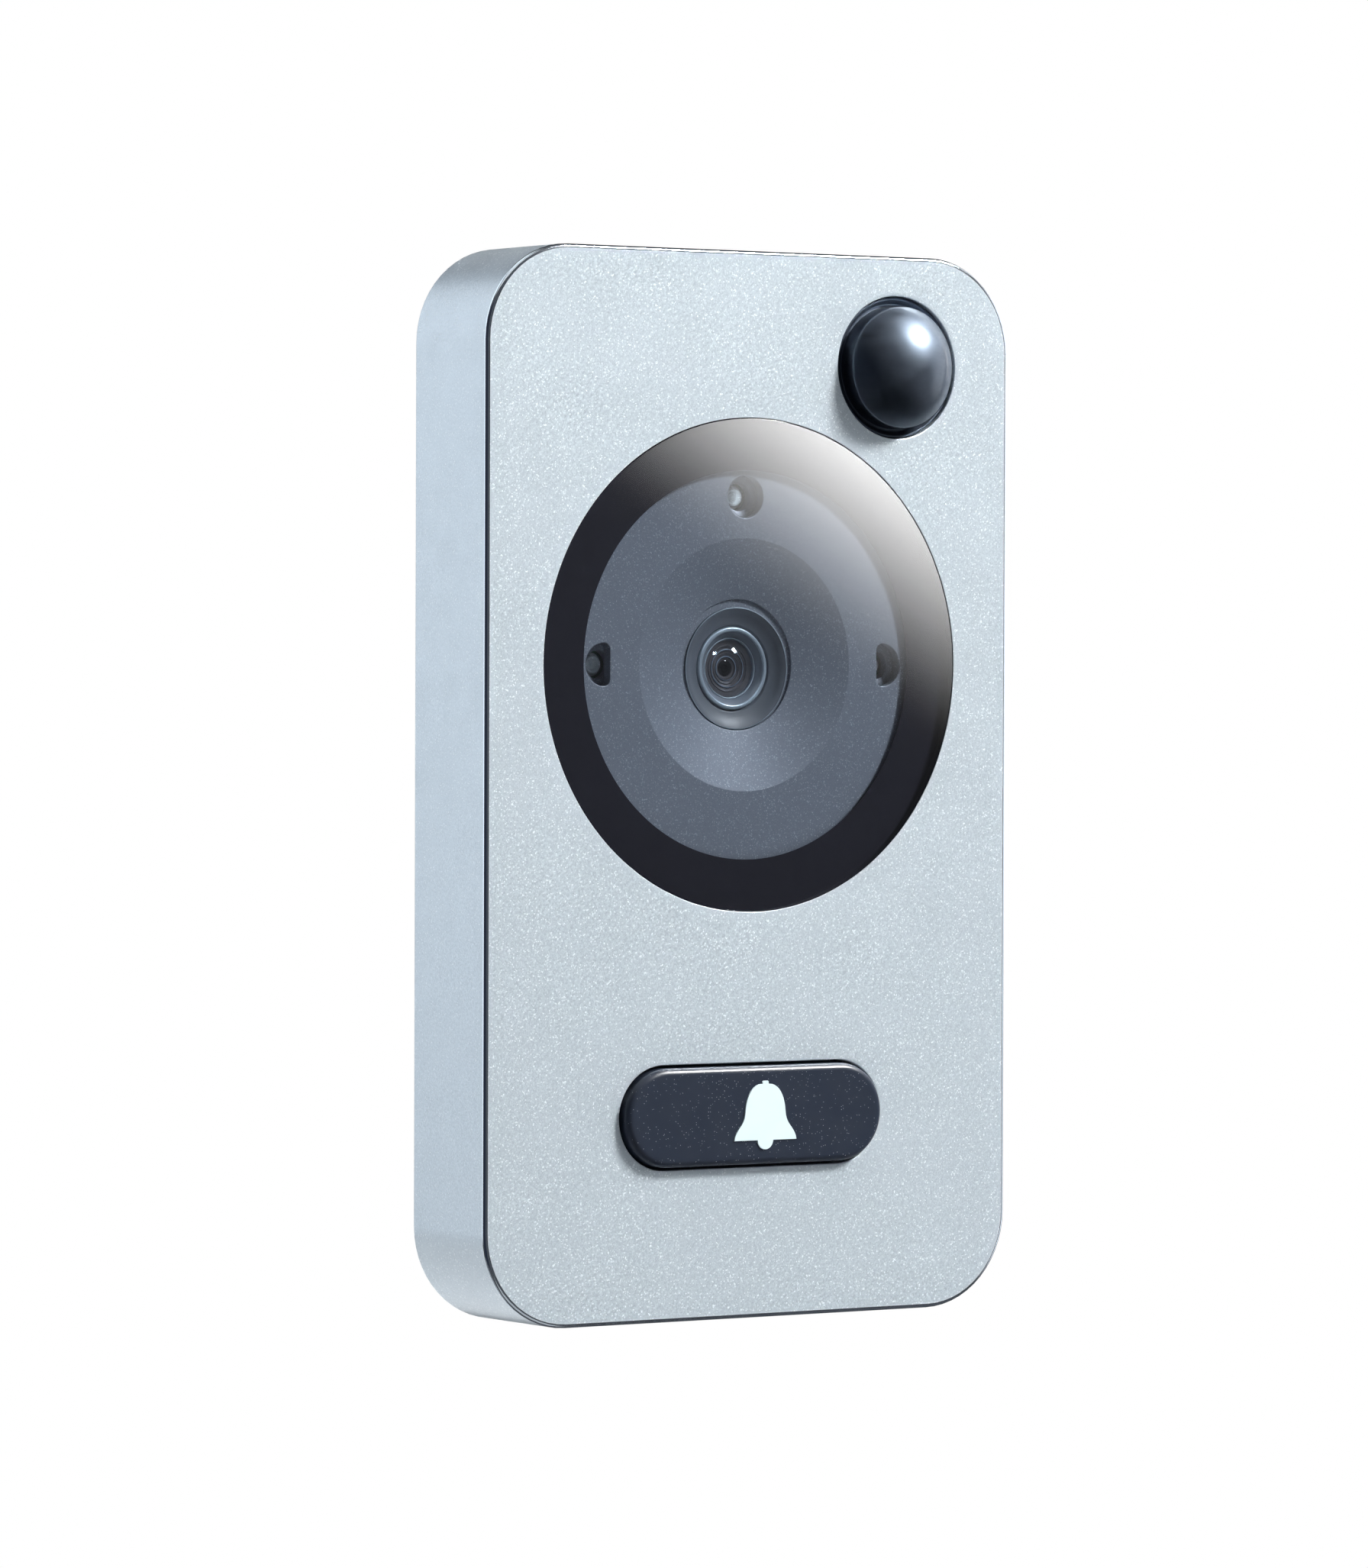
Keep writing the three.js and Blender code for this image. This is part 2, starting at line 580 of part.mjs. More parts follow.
/** The call button: a cap in its slot, a flange that holds it in, a stem and two guide pins. */
function buttonCap() {
  const stemTip = PLUNGER_FRONT - PLUNGER_GAP;
  const pinTip = BOARD_BACK - LAYER_GAP;
  let cap = roundedSlab(buttonOutline(0), -BUTTON.proud, BUTTON_FLANGE_BACK, BUTTON.edge, 14)
    .add(slab(buttonOutline(RUNNING_GAP + BUTTON_FLANGE.overlap), BUTTON_FLANGE_FRONT, BUTTON_FLANGE_BACK, 12))
    .subtract(slab(buttonOutline(-BUTTON.wall), -BUTTON.proud + BUTTON.wall + FIT_GAP, BUTTON_FLANGE_BACK + CUT, 10))
    .add(disc(BUTTON_STEM, 0, stemTip, 0, BUTTON.z, TINY));
  for (const sign of [-1, 1]) {
    cap = cap.add(disc(BUTTON_PIN.radius, 0, pinTip, (sign * BUTTON_PIN.spacing) / 2, BUTTON.z, TINY))
      .add(disc(SPRING.coil + 2 * SPRING.wire, 0, BUTTON_FLANGE_BACK, (sign * BUTTON_PIN.spacing) / 2, BUTTON.z, COARSE));
  }
  return cap;
}

function bellIcon() {
  const back = -BUTTON.proud - PLUNGER_GAP;
  return slab(bellOutline(), back - BELL_PRINT, back, 8);
}

/** A coil spring round one guide pin, from the cap to the board. */
function buttonSpring(sign) {
  const { coil, wire, turns } = SPRING;
  const front = BUTTON_FLANGE_BACK + LAYER_GAP + wire;
  const back = BOARD.depth - LAYER_GAP - wire;
  const stepsPerTurn = 12;
  const path = new THREE.Curve();
  path.getPoint = (t) => {
    const angle = 2 * Math.PI * turns * t;
    return new THREE.Vector3(coil * Math.cos(angle), at(front + (back - front) * t), coil * Math.sin(angle));
  };
  const section = new THREE.Shape();
  section.absarc(0, 0, wire, 0, 2 * Math.PI);
  const geometry = new THREE.ExtrudeGeometry(section, {
    steps: stepsPerTurn * turns,
    curveSegments: 3,
    extrudePath: path,
  });
  geometry.translate((sign * BUTTON_PIN.spacing) / 2, 0, BUTTON.z);
  return solid(geometry);
}

function switchBody() {
  const back = BOARD.depth - LAYER_GAP;
  const floor = 0.2;
  return block(0, BUTTON.z, SWITCH.size, SWITCH.size, SWITCH_FRONT, back)
    .subtract(disc(SWITCH.plunger + FIT_GAP, SWITCH_FRONT - CUT, back - floor, 0, BUTTON.z, COARSE));
}

function switchPlunger() {
  const { plunger, plungerLength } = SWITCH;
  return disc(plunger, PLUNGER_FRONT, PLUNGER_FRONT + plungerLength, 0, BUTTON.z, COARSE);
}

// ---------------------------------------------------------------- electronics

function mainBoard() {
  const margin = SIDE_WALL + BOARD.inset;
  const outline = roundedRectangle(BODY.width - 2 * margin, BODY.height - 2 * margin, BOARD.corner);
  const holes = [
    [OUTLET.x, OUTLET.z, OUTLET.boardHole],
    ...coverScrewPlaces().map(([x, z]) => [x, z, BOSS.radius + FIT_GAP]),
    ...insertPlaces().map(([x, z]) => [x, z, INSERT.radius + INSERT.wall + LAYER_GAP + FIT_GAP]),
    ...BOARD_POSTS.map(([x, z]) => [x, z, BOARD_SCREW.shank + FIT_GAP]),
    ...[-1, 1].map((sign) => [(sign * BUTTON_PIN.spacing) / 2, BUTTON.z, BUTTON_PIN.radius + FIT_GAP]),
  ];
  const blank = slab(outline, BOARD.depth, BOARD_BACK, 6);
  return holes.reduce((rest, [x, z, radius]) => (
    rest.subtract(disc(radius, BOARD.depth - CUT, BOARD_BACK + CUT, x, z, TINY))
  ), blank);
}

/** A chip or can on the front of the board. */
function chip(x, z, width, height, thickness) {
  const back = BOARD.depth - LAYER_GAP;
  return block(x, z, width, height, back - thickness, back);
}

function capacitor(x, z, radius, height) {
  const back = BOARD.depth - LAYER_GAP;
  const round = 0.4;
  return turned([
    [0, back - height], [radius - round, back - height], [radius, back - height + round], [radius, back], [0, back],
  ], x, z, COARSE);
}

/** The cord's socket: a shell open towards the outlet. */
function cableSocket() {
  const { x, width, height, length, wall } = SOCKET;
  const back = BOARD.depth - LAYER_GAP;
  return block(x, OUTLET.z, width, length, back - height, back)
    .subtract(block(x - wall, OUTLET.z, width, length - 2 * wall, back - height + wall, back - wall));
}

/** Four contacts on one bar at the bottom of the socket. */
function socketContacts() {
  const { x, width, height, wall, contacts, pitch } = SOCKET;
  const middle = BOARD.depth - LAYER_GAP - height / 2;
  const pin = 0.5;
  const root = x + width / 2 - wall - LAYER_GAP;
  const bar = 0.2;
  let comb = block(root - bar / 2, OUTLET.z, bar, (contacts - 1) * pitch + pin, middle - pin / 2, middle + pin / 2);
  for (let i = 0; i < contacts; i += 1) {
    const z = OUTLET.z + (i - (contacts - 1) / 2) * pitch;
    comb = comb.add(block(root - bar - pin / 2 + 0.1, z, pin, pin, middle - pin / 2, middle + pin / 2));
  }
  return comb;
}

// ---------------------------------------------------------------- scene graph

function named(name, manifold, meshMaterial) {
  const mesh = new THREE.Mesh(geometryOf(manifold), meshMaterial.clone());
  mesh.name = name;
  return mesh;
}

function housingGroup() {
  const group = new THREE.Group();
  group.add(named('front_cover', frontCover(), SILVER));
  group.add(named('rear_cover', rearCover(), REAR_BLACK));
  group.add(named('cover_seal', coverSeal(), RUBBER));
  group.add(named('mounting_pad', mountingPad(), FOAM));
  group.add(named('cable_grommet', cableGrommet(), RUBBER));
  coverScrewPlaces().forEach(([x, z], i) => {
    const headFront = COVER_BACK - COVER_SCREW.headHeight - LAYER_GAP;
    group.add(named(`cover_screw_${i + 1}`, screw(x, z, headFront, COVER_SCREW), STEEL));
  });
  insertPlaces().forEach(([x, z], i) => group.add(named(`door_insert_${i + 1}`, threadedInsert(x, z), BRASS)));
  return group;
}

function cameraGroup() {
  const group = new THREE.Group();
  group.add(named('window_disc', windowDisc(), CLEAR));
  group.add(named('window_tape', windowTape(), PRINT_BLACK));
  group.add(named('camera_bezel', cameraBezel(), SATIN_GREY));
  group.add(named('lens_barrel', lensBarrel(), LENS_BLACK));
  group.add(named('lens_ring', lensRing(), DARK_METAL));
  group.add(named('front_lens', frontLens(), GLASS));
  group.add(named('lens_holder', lensHolder(), CHIP_BLACK));
  group.add(named('image_sensor', imageSensor(), GLASS));
  for (const place of ledPlaces()) {
    group.add(named(`ir_led_${place.side}`, infraredLed(place), LED_CLEAR));
  }
  return group;
}

function motionSensorGroup() {
  const group = new THREE.Group();
  group.add(named('pir_dome', pirDome(), GLOSS_BLACK));
  group.add(named('pir_gasket', pirGasket(), RUBBER));
  group.add(named('pir_retainer', pirRetainer(), CHIP_BLACK));
  group.add(named('pir_can', pirCan(), TIN));
  group.add(named('pir_filter', pirFilter(), GLASS));
  return group;
}

function buttonGroup() {
  const group = new THREE.Group();
  group.add(named('button_cap', buttonCap(), SATIN_BLACK));
  group.add(named('bell_icon', bellIcon(), WHITE_INK));
  group.add(named('button_spring_left', buttonSpring(-1), STEEL));
  group.add(named('button_spring_right', buttonSpring(1), STEEL));
  group.add(named('switch_body', switchBody(), CHIP_BLACK));
  group.add(named('switch_plunger', switchPlunger(), IVORY));
  return group;
}

function electronicsGroup() {
  const group = new THREE.Group();
  group.add(named('main_board', mainBoard(), BOARD_GREEN));
  BOARD_POSTS.forEach(([x, z], i) => {
    const headFront = BOARD_BACK + LAYER_GAP;
    group.add(named(`board_screw_${i + 1}`, screw(x, z, headFront, BOARD_SCREW), STEEL));
  });
  group.add(named('video_chip', chip(-13, -10, 9, 9, 1.1), CHIP_BLACK));
  group.add(named('memory_chip', chip(13, -9, 8, 6, 1), CHIP_BLACK));
  group.add(named('power_coil', chip(-13, -22, 6, 6, 2.8), CHIP_BLACK));
  group.add(named('power_capacitor', capacitor(-14, 50, 3.1, 5.4), TIN));
  group.add(named('cable_socket', cableSocket(), IVORY));
  group.add(named('socket_contacts', socketContacts(), BRASS));
  return group;
}

const doorbell = new THREE.Group();
doorbell.add(housingGroup(), cameraGroup(), motionSensorGroup(), buttonGroup(), electronicsGroup());

export default doorbell;
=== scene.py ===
# Video doorbell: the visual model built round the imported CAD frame.
#
# Shapes are drawn in millimetres as x, z and a depth measured inwards from the flat front face,
# which is where the CAD front cover's box begins. Blender objects are in metres.

import math

import bmesh
import bpy
from mathutils import Matrix, Vector
from mathutils.geometry import tessellate_polygon


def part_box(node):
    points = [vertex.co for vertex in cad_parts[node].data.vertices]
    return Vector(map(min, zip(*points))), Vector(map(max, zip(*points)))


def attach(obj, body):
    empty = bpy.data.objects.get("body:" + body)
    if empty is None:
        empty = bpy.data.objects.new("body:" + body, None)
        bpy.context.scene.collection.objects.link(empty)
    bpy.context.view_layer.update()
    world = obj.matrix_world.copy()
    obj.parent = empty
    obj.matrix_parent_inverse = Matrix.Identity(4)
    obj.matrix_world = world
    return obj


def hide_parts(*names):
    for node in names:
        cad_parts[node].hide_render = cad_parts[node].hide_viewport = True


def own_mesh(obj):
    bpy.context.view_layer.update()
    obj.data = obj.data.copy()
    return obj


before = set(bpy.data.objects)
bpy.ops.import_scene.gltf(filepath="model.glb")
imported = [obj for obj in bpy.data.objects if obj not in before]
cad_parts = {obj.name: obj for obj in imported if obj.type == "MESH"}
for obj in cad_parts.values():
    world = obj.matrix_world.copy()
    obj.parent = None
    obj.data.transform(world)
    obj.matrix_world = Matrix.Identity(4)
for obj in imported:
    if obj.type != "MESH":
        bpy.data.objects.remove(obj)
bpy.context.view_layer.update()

MM = 0.001
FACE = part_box("front_cover")[0].y / MM


def cad(node):
    """Centre x, centre z, half width, half height, front depth and back depth of a CAD node, in mm."""
    low, high = (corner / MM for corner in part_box(node))
    return ((low.x + high.x) / 2, (low.z + high.z) / 2, (high.x - low.x) / 2, (high.z - low.z) / 2,
            low.y - FACE, high.y - FACE)


# ---------------- mesh tools


def arc(x, z, radius, start, end, steps):
    """Points on an arc in the x-z plane, from one angle in degrees to another."""
    turn = [math.radians(start + (end - start) * i / steps) for i in range(steps + 1)]
    return [(x + radius * math.cos(a), z + radius * math.sin(a)) for a in turn]


def circle(x, z, radius, steps=96):
    return lambda inset: arc(x, z, radius - inset, 0, 360, steps)[:-1]


def rounded_rectangle(width, height, radius, steps=14):
    def outline(inset):
        r = radius - inset
        x, z = width / 2 - radius, height / 2 - radius
        return (arc(x, z, r, 0, 90, steps) + arc(-x, z, r, 90, 180, steps)
                + arc(-x, -z, r, 180, 270, steps) + arc(x, -z, r, 270, 360, steps))
    return outline


def stadium(x, z, length, height, steps=28):
    def outline(inset):
        r = height / 2 - inset
        reach = (length - height) / 2
        return arc(x + reach, z, r, -90, 90, steps) + arc(x - reach, z, r, 90, 270, steps)
    return outline


def half_round(x, z, radius, flat, corner, sign, steps=32):
    """A circle of which the side away from sign is cut flat at distance flat, with rounded corners."""
    def outline(inset):
        r, c = radius - inset, corner - inset
        cut = inset - flat
        height = math.sqrt((r - c) ** 2 - (cut + c) ** 2)
        meet = math.degrees(math.atan2(height, cut + c))
        points = (arc(0, 0, r, -meet, meet, steps) + arc(cut + c, height, c, meet, 180, 8)
                  + arc(cut + c, -height, c, 180, 360 - meet, 8))
        return [(x + sign * px, z + sign * pz) for px, pz in points]
    return outline


def square(x, z, half):
    return polygon([(x - half, z - half), (x + half, z - half), (x + half, z + half), (x - half, z + half)])


def polygon(points):
    """An outline from fixed points that can be brought in a little along its corners' bisectors."""
    count = len(points)

    def outline(inset):
        moved = []
        for i, (x, z) in enumerate(points):
            before, after = Vector(points[i - 1]), Vector(points[(i + 1) % count])
            along = (after - before).normalized()
            moved.append((x - inset * along.y, z + inset * along.x))
        return moved
    return outline


def fillet(path, segments=5):
    """A path of (a, b) points, in which (a, b, radius) is rounded off."""
    result = []
    for i, point in enumerate(path):
        if len(point) == 2 or i in (0, len(path) - 1):
            result.append(point[:2])
            continue
        corner = Vector(point[:2])
        radius = point[2]
        back = (Vector(path[i - 1][:2]) - corner).normalized()
        ahead = (Vector(path[i + 1][:2]) - corner).normalized()
        half = back.angle(ahead) / 2
        reach = radius / math.tan(half)
        middle = corner + (back + ahead).normalized() * radius / math.sin(half)
        start, end = corner + back * reach - middle, corner + ahead * reach - middle
        sweep = start.angle(end)
        for k in range(segments + 1):
            t = k / segments
            p = (start * math.sin((1 - t) * sweep) + end * math.sin(t * sweep)) / math.sin(sweep)
            result.append(tuple(middle + p))
    return result


class Shape:
    """A mesh of lofted loops, turned profiles and flat faces; finish picks the material of what follows."""

    def __init__(self):
        self.bm = bmesh.new()
        self.finish = 0

    def ring(self, points, depth):
        return [self.bm.verts.new(Vector((x, FACE + depth, z)) * MM) for x, z in points]

    def bridge(self, a, b):
        for i in range(len(a)):
            face = self.bm.faces.new((a[i - 1], a[i], b[i], b[i - 1]))
            face.material_index = self.finish

    def cap(self, outline, depth, holes=()):
        """A flat face; holes are outlines in it."""
        loops = [outline, *holes]
        if not holes:
            self.bm.faces.new(self.ring(outline, depth))
            return
        points = [p for loop in loops for p in loop]
        verts = self.ring(points, depth)
        for triangle in tessellate_polygon([[Vector((x, z, 0)) for x, z in loop] for loop in loops]):
            if len(set(triangle)) == 3:
                self.bm.faces.new([verts[i] for i in triangle])

    def loft(self, outline, path):
        """Loops of one outline at (inset, depth) stations."""
        rings = [self.ring(outline(inset), depth) for inset, depth in path]
        for a, b in zip(rings, rings[1:]):
            self.bridge(a, b)

    def turn(self, path, x=0.0, z=0.0, segments=96):
        """A profile of (radius, depth) points turned about the line through (x, z)."""
        previous = None
        for radius, depth in path:
            if radius < 1e-6:
                current = self.ring([(x, z)], depth)
            else:
                current = self.ring(arc(x, z, radius, 0, 360, segments)[:-1], depth)
            if previous:
                if len(previous) > 1 and len(current) > 1:
                    self.bridge(previous, current)
                elif len(current) > 1 or len(previous) > 1:
                    pole, loop = (previous, current) if len(previous) == 1 else (current, previous)
                    for i in range(len(loop)):
                        fan = self.bm.faces.new((pole[0], loop[i - 1], loop[i]))
                        fan.material_index = self.finish
            previous = current

    def turn_ring(self, path, x=0.0, z=0.0, segments=96):
        self.turn([*path, path[0]], x, z, segments)

    def tube(self, points, radius, sides=10):
        """A round wire along 3-D points given as (x, depth, z), closed at both ends."""
        spots = [Vector((x, FACE + depth, z)) * MM for x, depth, z in points]
        rings = []
        side = Vector((0, 1, 0))
        for i, spot in enumerate(spots):
            ahead = (spots[min(i + 1, len(spots) - 1)] - spots[max(i - 1, 0)]).normalized()
            out = side.cross(ahead).normalized()
            up = ahead.cross(out)
            rings.append([
                self.bm.verts.new(spot + (out * math.cos(a) + up * math.sin(a)) * radius * MM)
                for a in (2 * math.pi * k / sides for k in range(sides))
            ])
        for a, b in zip(rings, rings[1:]):
            self.bridge(a, b)
        self.bm.faces.new(rings[0])
        self.bm.faces.new(rings[-1])

    def build(self, name, material, replaces=(), sharp=40, second=None, body="housing"):
        """Turn the shape into an object; second is the material of the faces made while finish was 1."""
        bmesh.ops.remove_doubles(self.bm, verts=self.bm.verts, dist=1e-7)
        bmesh.ops.recalc_face_normals(self.bm, faces=self.bm.faces)
        mesh = bpy.data.meshes.new(name)
        self.bm.to_mesh(mesh)
        self.bm.free()
        mesh.shade_smooth()
        mesh.set_sharp_from_angle(angle=math.radians(sharp))
        mesh.materials.append(material)
        if second:
            mesh.materials.append(second)
        piece = bpy.data.objects.new(name, mesh)
        bpy.context.scene.collection.objects.link(piece)
        weighted = piece.modifiers.new("weighted_normals", "WEIGHTED_NORMAL")
        weighted.keep_sharp = True
        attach(piece, body)
        if replaces:
            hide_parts(*replaces)
        return piece


# ---------------- materials


class Nodes:
    """Short forms for making a node tree."""

    def __init__(self, name):
        self.material = bpy.data.materials.new(name)
        self.material.use_nodes = True
        self.tree = self.material.node_tree
        self.tree.nodes.clear()
        self.output = self.tree.nodes.new("ShaderNodeOutputMaterial")
        self.place = self.node("TexCoord").outputs["Object"]

    def node(self, kind, inputs=None, **settings):
        """A node with its settings; an input is a value or another node's output."""
        made = self.tree.nodes.new("ShaderNode" + kind)
        for key, value in settings.items():
            setattr(made, key, value)
        for key, value in (inputs or {}).items():
            if isinstance(value, bpy.types.NodeSocket):
                self.tree.links.new(value, made.inputs[key])
            else:
                made.inputs[key].default_value = value
        return made

    def noise(self, size, detail=3.0, roughness=0.55, stretch=None):
        """Noise whose features are about size millimetres across."""
        place = self.place
        if stretch:
            place = self.node("Mapping", {"Vector": place, "Scale": stretch}).outputs["Vector"]
        inputs = {"Vector": place, "Scale": 1 / (size * MM), "Detail": detail, "Roughness": roughness}
        return self.node("TexNoise", inputs).outputs["Fac"]

    def cells(self, size, feature="F1"):
        """Voronoi cells about size millimetres across."""
        inputs = {"Vector": self.place, "Scale": 1 / (size * MM)}
        return self.node("TexVoronoi", inputs, feature=feature).outputs

    def remap(self, value, low, high, to_low=0.0, to_high=1.0):
        inputs = {"Value": value, "From Min": low, "From Max": high, "To Min": to_low, "To Max": to_high}
        return self.node("MapRange", inputs).outputs["Result"]

    def around(self, roughness, drift, spread=0.05):
        """A roughness that drifts to both sides of its middle value."""
        return self.remap(drift, 0.3, 0.7, roughness - spread, roughness + spread)

    def math(self, operation, a, b=0.0):
        return self.node("Math", {0: a, 1: b}, operation=operation).outputs[0]

    def channels(self, colour):
        """A colour's Red, Green and Blue."""
        return self.node("SeparateColor", {"Color": colour}).outputs

    def spread(self):
        """The place over a piece's own box, from 0 to 1 along X, Y and Z."""
        return self.node("SeparateXYZ", {"Vector": self.node("TexCoord").outputs["Generated"]}).outputs

    def mix(self, factor, a, b):
        """A blend of two colours."""
        a, b = ((*colour, 1) if isinstance(colour, tuple) else colour for colour in (a, b))
        return self.node("Mix", {"Factor": factor, 6: a, 7: b}, data_type="RGBA").outputs[2]

    def bump(self, height, distance):
        """Bump whose full height is distance millimetres."""
        return self.node("Bump", {"Height": height, "Distance": distance * MM}).outputs["Normal"]

    def finish(self, shader):
        self.tree.links.new(shader.outputs[0], self.output.inputs["Surface"])
        return self.material

    def surface(self, **values):
        """A Principled surface; names use underscores for spaces."""
        return self.finish(self.node("BsdfPrincipled", {
            key.replace("_", " "): (*value, 1) if isinstance(value, tuple) else value
            for key, value in values.items()
        }))

    def glow(self, colour, strength):
        """A surface that only gives light."""
        return self.finish(self.node("Emission", {"Color": (*colour, 1), "Strength": strength}))


def silver_paint():
    """Metallic silver paint: tiny flakes at their own tilts and brightness under a clear coat. The sparse
    near-white flakes are painted sparkle: a painted glint that stands in for light caught by the flakes.
    """
    n = Nodes("silver_paint")
    flake, lean = 0.135, 0.11
    flakes = n.cells(flake)
    channels = n.channels(flakes["Color"])
    # Painted glint: this mask picks a sparse share of flakes whose near-white colour stands in for the
    # sparkle of light off them.
    chosen = n.remap(channels["Red"], 0.92, 0.97)
    base = n.mix(n.noise(9, 3), (0.664, 0.744, 0.81), (0.694, 0.774, 0.839))
    shaded = n.mix(n.remap(channels["Green"], 0, 0.5, 0.12, 0), base, (0.4, 0.45, 0.5))
    centred = n.node("VectorMath", {0: flakes["Color"], 1: (0.5, 0.5, 0.5)}, operation="SUBTRACT")
    tilt = n.node("VectorMath", {0: centred.outputs[0], "Scale": lean}, operation="SCALE")
    normal = n.node("NewGeometry").outputs["Normal"]
    leaning = n.node("VectorMath", {0: normal, 1: tilt.outputs[0]}, operation="ADD")
    unit = n.node("VectorMath", {0: leaning.outputs[0]}, operation="NORMALIZE")
    return n.surface(
        # The near-white colour on the masked flakes is a painted highlight, the flakes' sparkle painted
        # into the base colour.
        Base_Color=n.mix(chosen, shaded, (0.88, 0.95, 1.0)), Metallic=n.remap(chosen, 0, 1, 0.62, 0.1),
        Roughness=n.remap(n.noise(3), 0.3, 0.7, 0.37, 0.43), Normal=unit.outputs[0],
        Coat_Weight=0.45, Coat_Roughness=0.16, Coat_Normal=n.bump(n.noise(0.9, 2), 0.004),
    )


def plastic(name, dark, light, roughness, grain, grain_depth, specular=0.5, specks=0.0):
    """Moulded plastic with a fine grain, slow colour drift and, if wanted, light dust."""
    n = Nodes(name)
    colour = n.mix(n.noise(4, 4), dark, light)
    if specks:
        dust = n.cells(0.27)
        channels = n.channels(dust["Color"])
        chosen = n.math("GREATER_THAN", channels["Red"], 0.55)
        small = n.math("LESS_THAN", dust["Distance"], n.remap(channels["Green"], 0, 1, 0.06, 0.17))
        amount = n.math("MULTIPLY", n.math("MULTIPLY", chosen, small), specks)
        colour = n.mix(amount, colour, (0.5, 0.53, 0.56))
    return n.surface(
        Base_Color=colour, Roughness=n.around(roughness, n.noise(1.6, 4)), Specular_IOR_Level=specular,
        Normal=n.bump(n.noise(grain, 2), grain_depth),
    )


def satin_paint(name, dark, light, speck):
    """Grey paint with a fine metallic grain."""
    n = Nodes(name)
    channels = n.channels(n.cells(0.11)["Color"])
    colour = n.mix(channels["Green"], dark, light)
    colour = n.mix(n.remap(channels["Red"], 0.88, 1.0, 0, 0.7), colour, speck)
    cloud = n.remap(n.noise(5, 4), 0.3, 0.7, 0, 0.12)
    return n.surface(
        Base_Color=n.mix(cloud, colour, dark), Metallic=0.25, Roughness=n.around(0.45, n.noise(2, 4)),
        Normal=n.bump(n.noise(0.16, 2), 0.005),
    )


def dome_gloss():
    """Black infrared-clear plastic: a soft sheen under a sharp gloss with faint handling smears."""
    n = Nodes("dome_black")
    smears = n.noise(1.8, 5, 0.65, (1, 0.5, 1.6))
    return n.surface(
        Base_Color=n.mix(n.noise(2), (0.003, 0.0026, 0.005), (0.0052, 0.0047, 0.0085)),
        Roughness=n.remap(smears, 0.35, 0.7, 0.36, 0.56), Specular_IOR_Level=1.0, IOR=1.85,
        Specular_Tint=(0.64, 0.79, 1.0), Coat_Weight=0.35, Coat_Roughness=0.06,
        Normal=n.bump(n.noise(0.55, 4, 0.7, (1, 0.5, 2.2)), 0.004),
    )


def metal(name, dark, light, roughness, brushed=None, depth=0.006, metallic=1.0):
    n = Nodes(name)
    lines = n.noise(0.35, 4, stretch=brushed or (1, 1, 1))
    return n.surface(
        Base_Color=n.mix(n.noise(1.5, 4), dark, light), Metallic=metallic,
        Roughness=n.around(roughness, lines), Normal=n.bump(lines, depth),
    )


def rubber(name, dark, light, cell, depth, roughness=0.85):
    n = Nodes(name)
    pores = n.cells(cell, "SMOOTH_F1")["Distance"]
    return n.surface(
        Base_Color=n.mix(n.noise(2.5, 4), dark, light), Roughness=n.around(roughness, n.noise(1, 3), 0.06),
        Specular_IOR_Level=0.35, Normal=n.bump(pores, depth),
    )


def see_through(name, tint, gloss_tint, head_on, roughness):
    """Clear glass or plastic: what lies behind shows through a mirror image that grows at a slant.

    head_on is the share of light that it mirrors when seen squarely.
    """
    n = Nodes(name)
    slant = n.math("POWER", n.node("LayerWeight", {"Blend": 0.5}).outputs["Facing"], 5.0)
    factor = n.math("ADD", n.math("MULTIPLY", slant, 1 - head_on), head_on)
    clear = n.node("BsdfTransparent", {"Color": (*tint, 1)})
    gloss = n.node("BsdfAnisotropic", {"Color": (*gloss_tint, 1), "Roughness": roughness})
    return n.finish(n.node("MixShader", {0: factor, 1: clear.outputs[0], 2: gloss.outputs[0]}))


def board_green():
    """Solder mask over copper: broad darker tracks, and a fine weave below."""
    n = Nodes("board_green")
    grid = {"Vector": n.place, "Scale": 1 / (4 * MM), "Mortar Size": 0.06, "Mortar Smooth": 0.2}
    tracks = n.node("TexBrick", grid)
    colour = n.mix(n.noise(2, 3), (0.01, 0.075, 0.028), (0.018, 0.12, 0.045))
    colour = n.mix(n.math("MULTIPLY", tracks.outputs["Fac"], 0.5), colour, (0.03, 0.2, 0.09))
    return n.surface(Base_Color=colour, Roughness=0.35, Coat_Weight=0.4, Coat_Roughness=0.15,
                     Normal=n.bump(n.noise(0.25, 2), 0.01))


SILVER = silver_paint()
WINDOW_CLEAR = see_through("window_clear", (0.93, 0.95, 0.97), (1, 1, 1), 0.084, 0.035)
WINDOW_INSIDE = see_through("window_inside", (0.93, 0.95, 0.97), (1, 1, 1), 0.0, 0.01)
PRINT = plastic("black_print", (0.0064, 0.0058, 0.011), (0.0076, 0.007, 0.0128), 0.45, 2.5, 0.001, 0.15)
BEZEL_GREY = satin_paint("bezel_grey", (0.118, 0.133, 0.163), (0.138, 0.155, 0.188), (0.33, 0.36, 0.4))
LENS_BLACK = plastic("lens_black", (0.062, 0.071, 0.087), (0.072, 0.081, 0.098), 0.46, 0.1, 0.0015, 0.22)
LENS_SEAT = plastic("lens_seat", (0.066, 0.078, 0.098), (0.08, 0.094, 0.116), 0.42, 0.1, 0.001)
BAFFLE_BLACK = plastic("baffle_black", (0.088, 0.077, 0.072), (0.1, 0.087, 0.08), 0.24, 0.2, 0.0005)
LENS_METAL = metal("lens_metal", (0.25, 0.3, 0.35), (0.26, 0.31, 0.36), 0.4, depth=0.0002, metallic=0.6)
LENS_GLASS = see_through("lens_glass", (0.88, 0.9, 0.94), (0.9, 0.95, 1.0), 0.045, 0.02)
LENS_COATED = see_through("lens_coated", (0.7, 0.6, 0.56), (1.0, 0.86, 0.72), 0.09, 0.03)
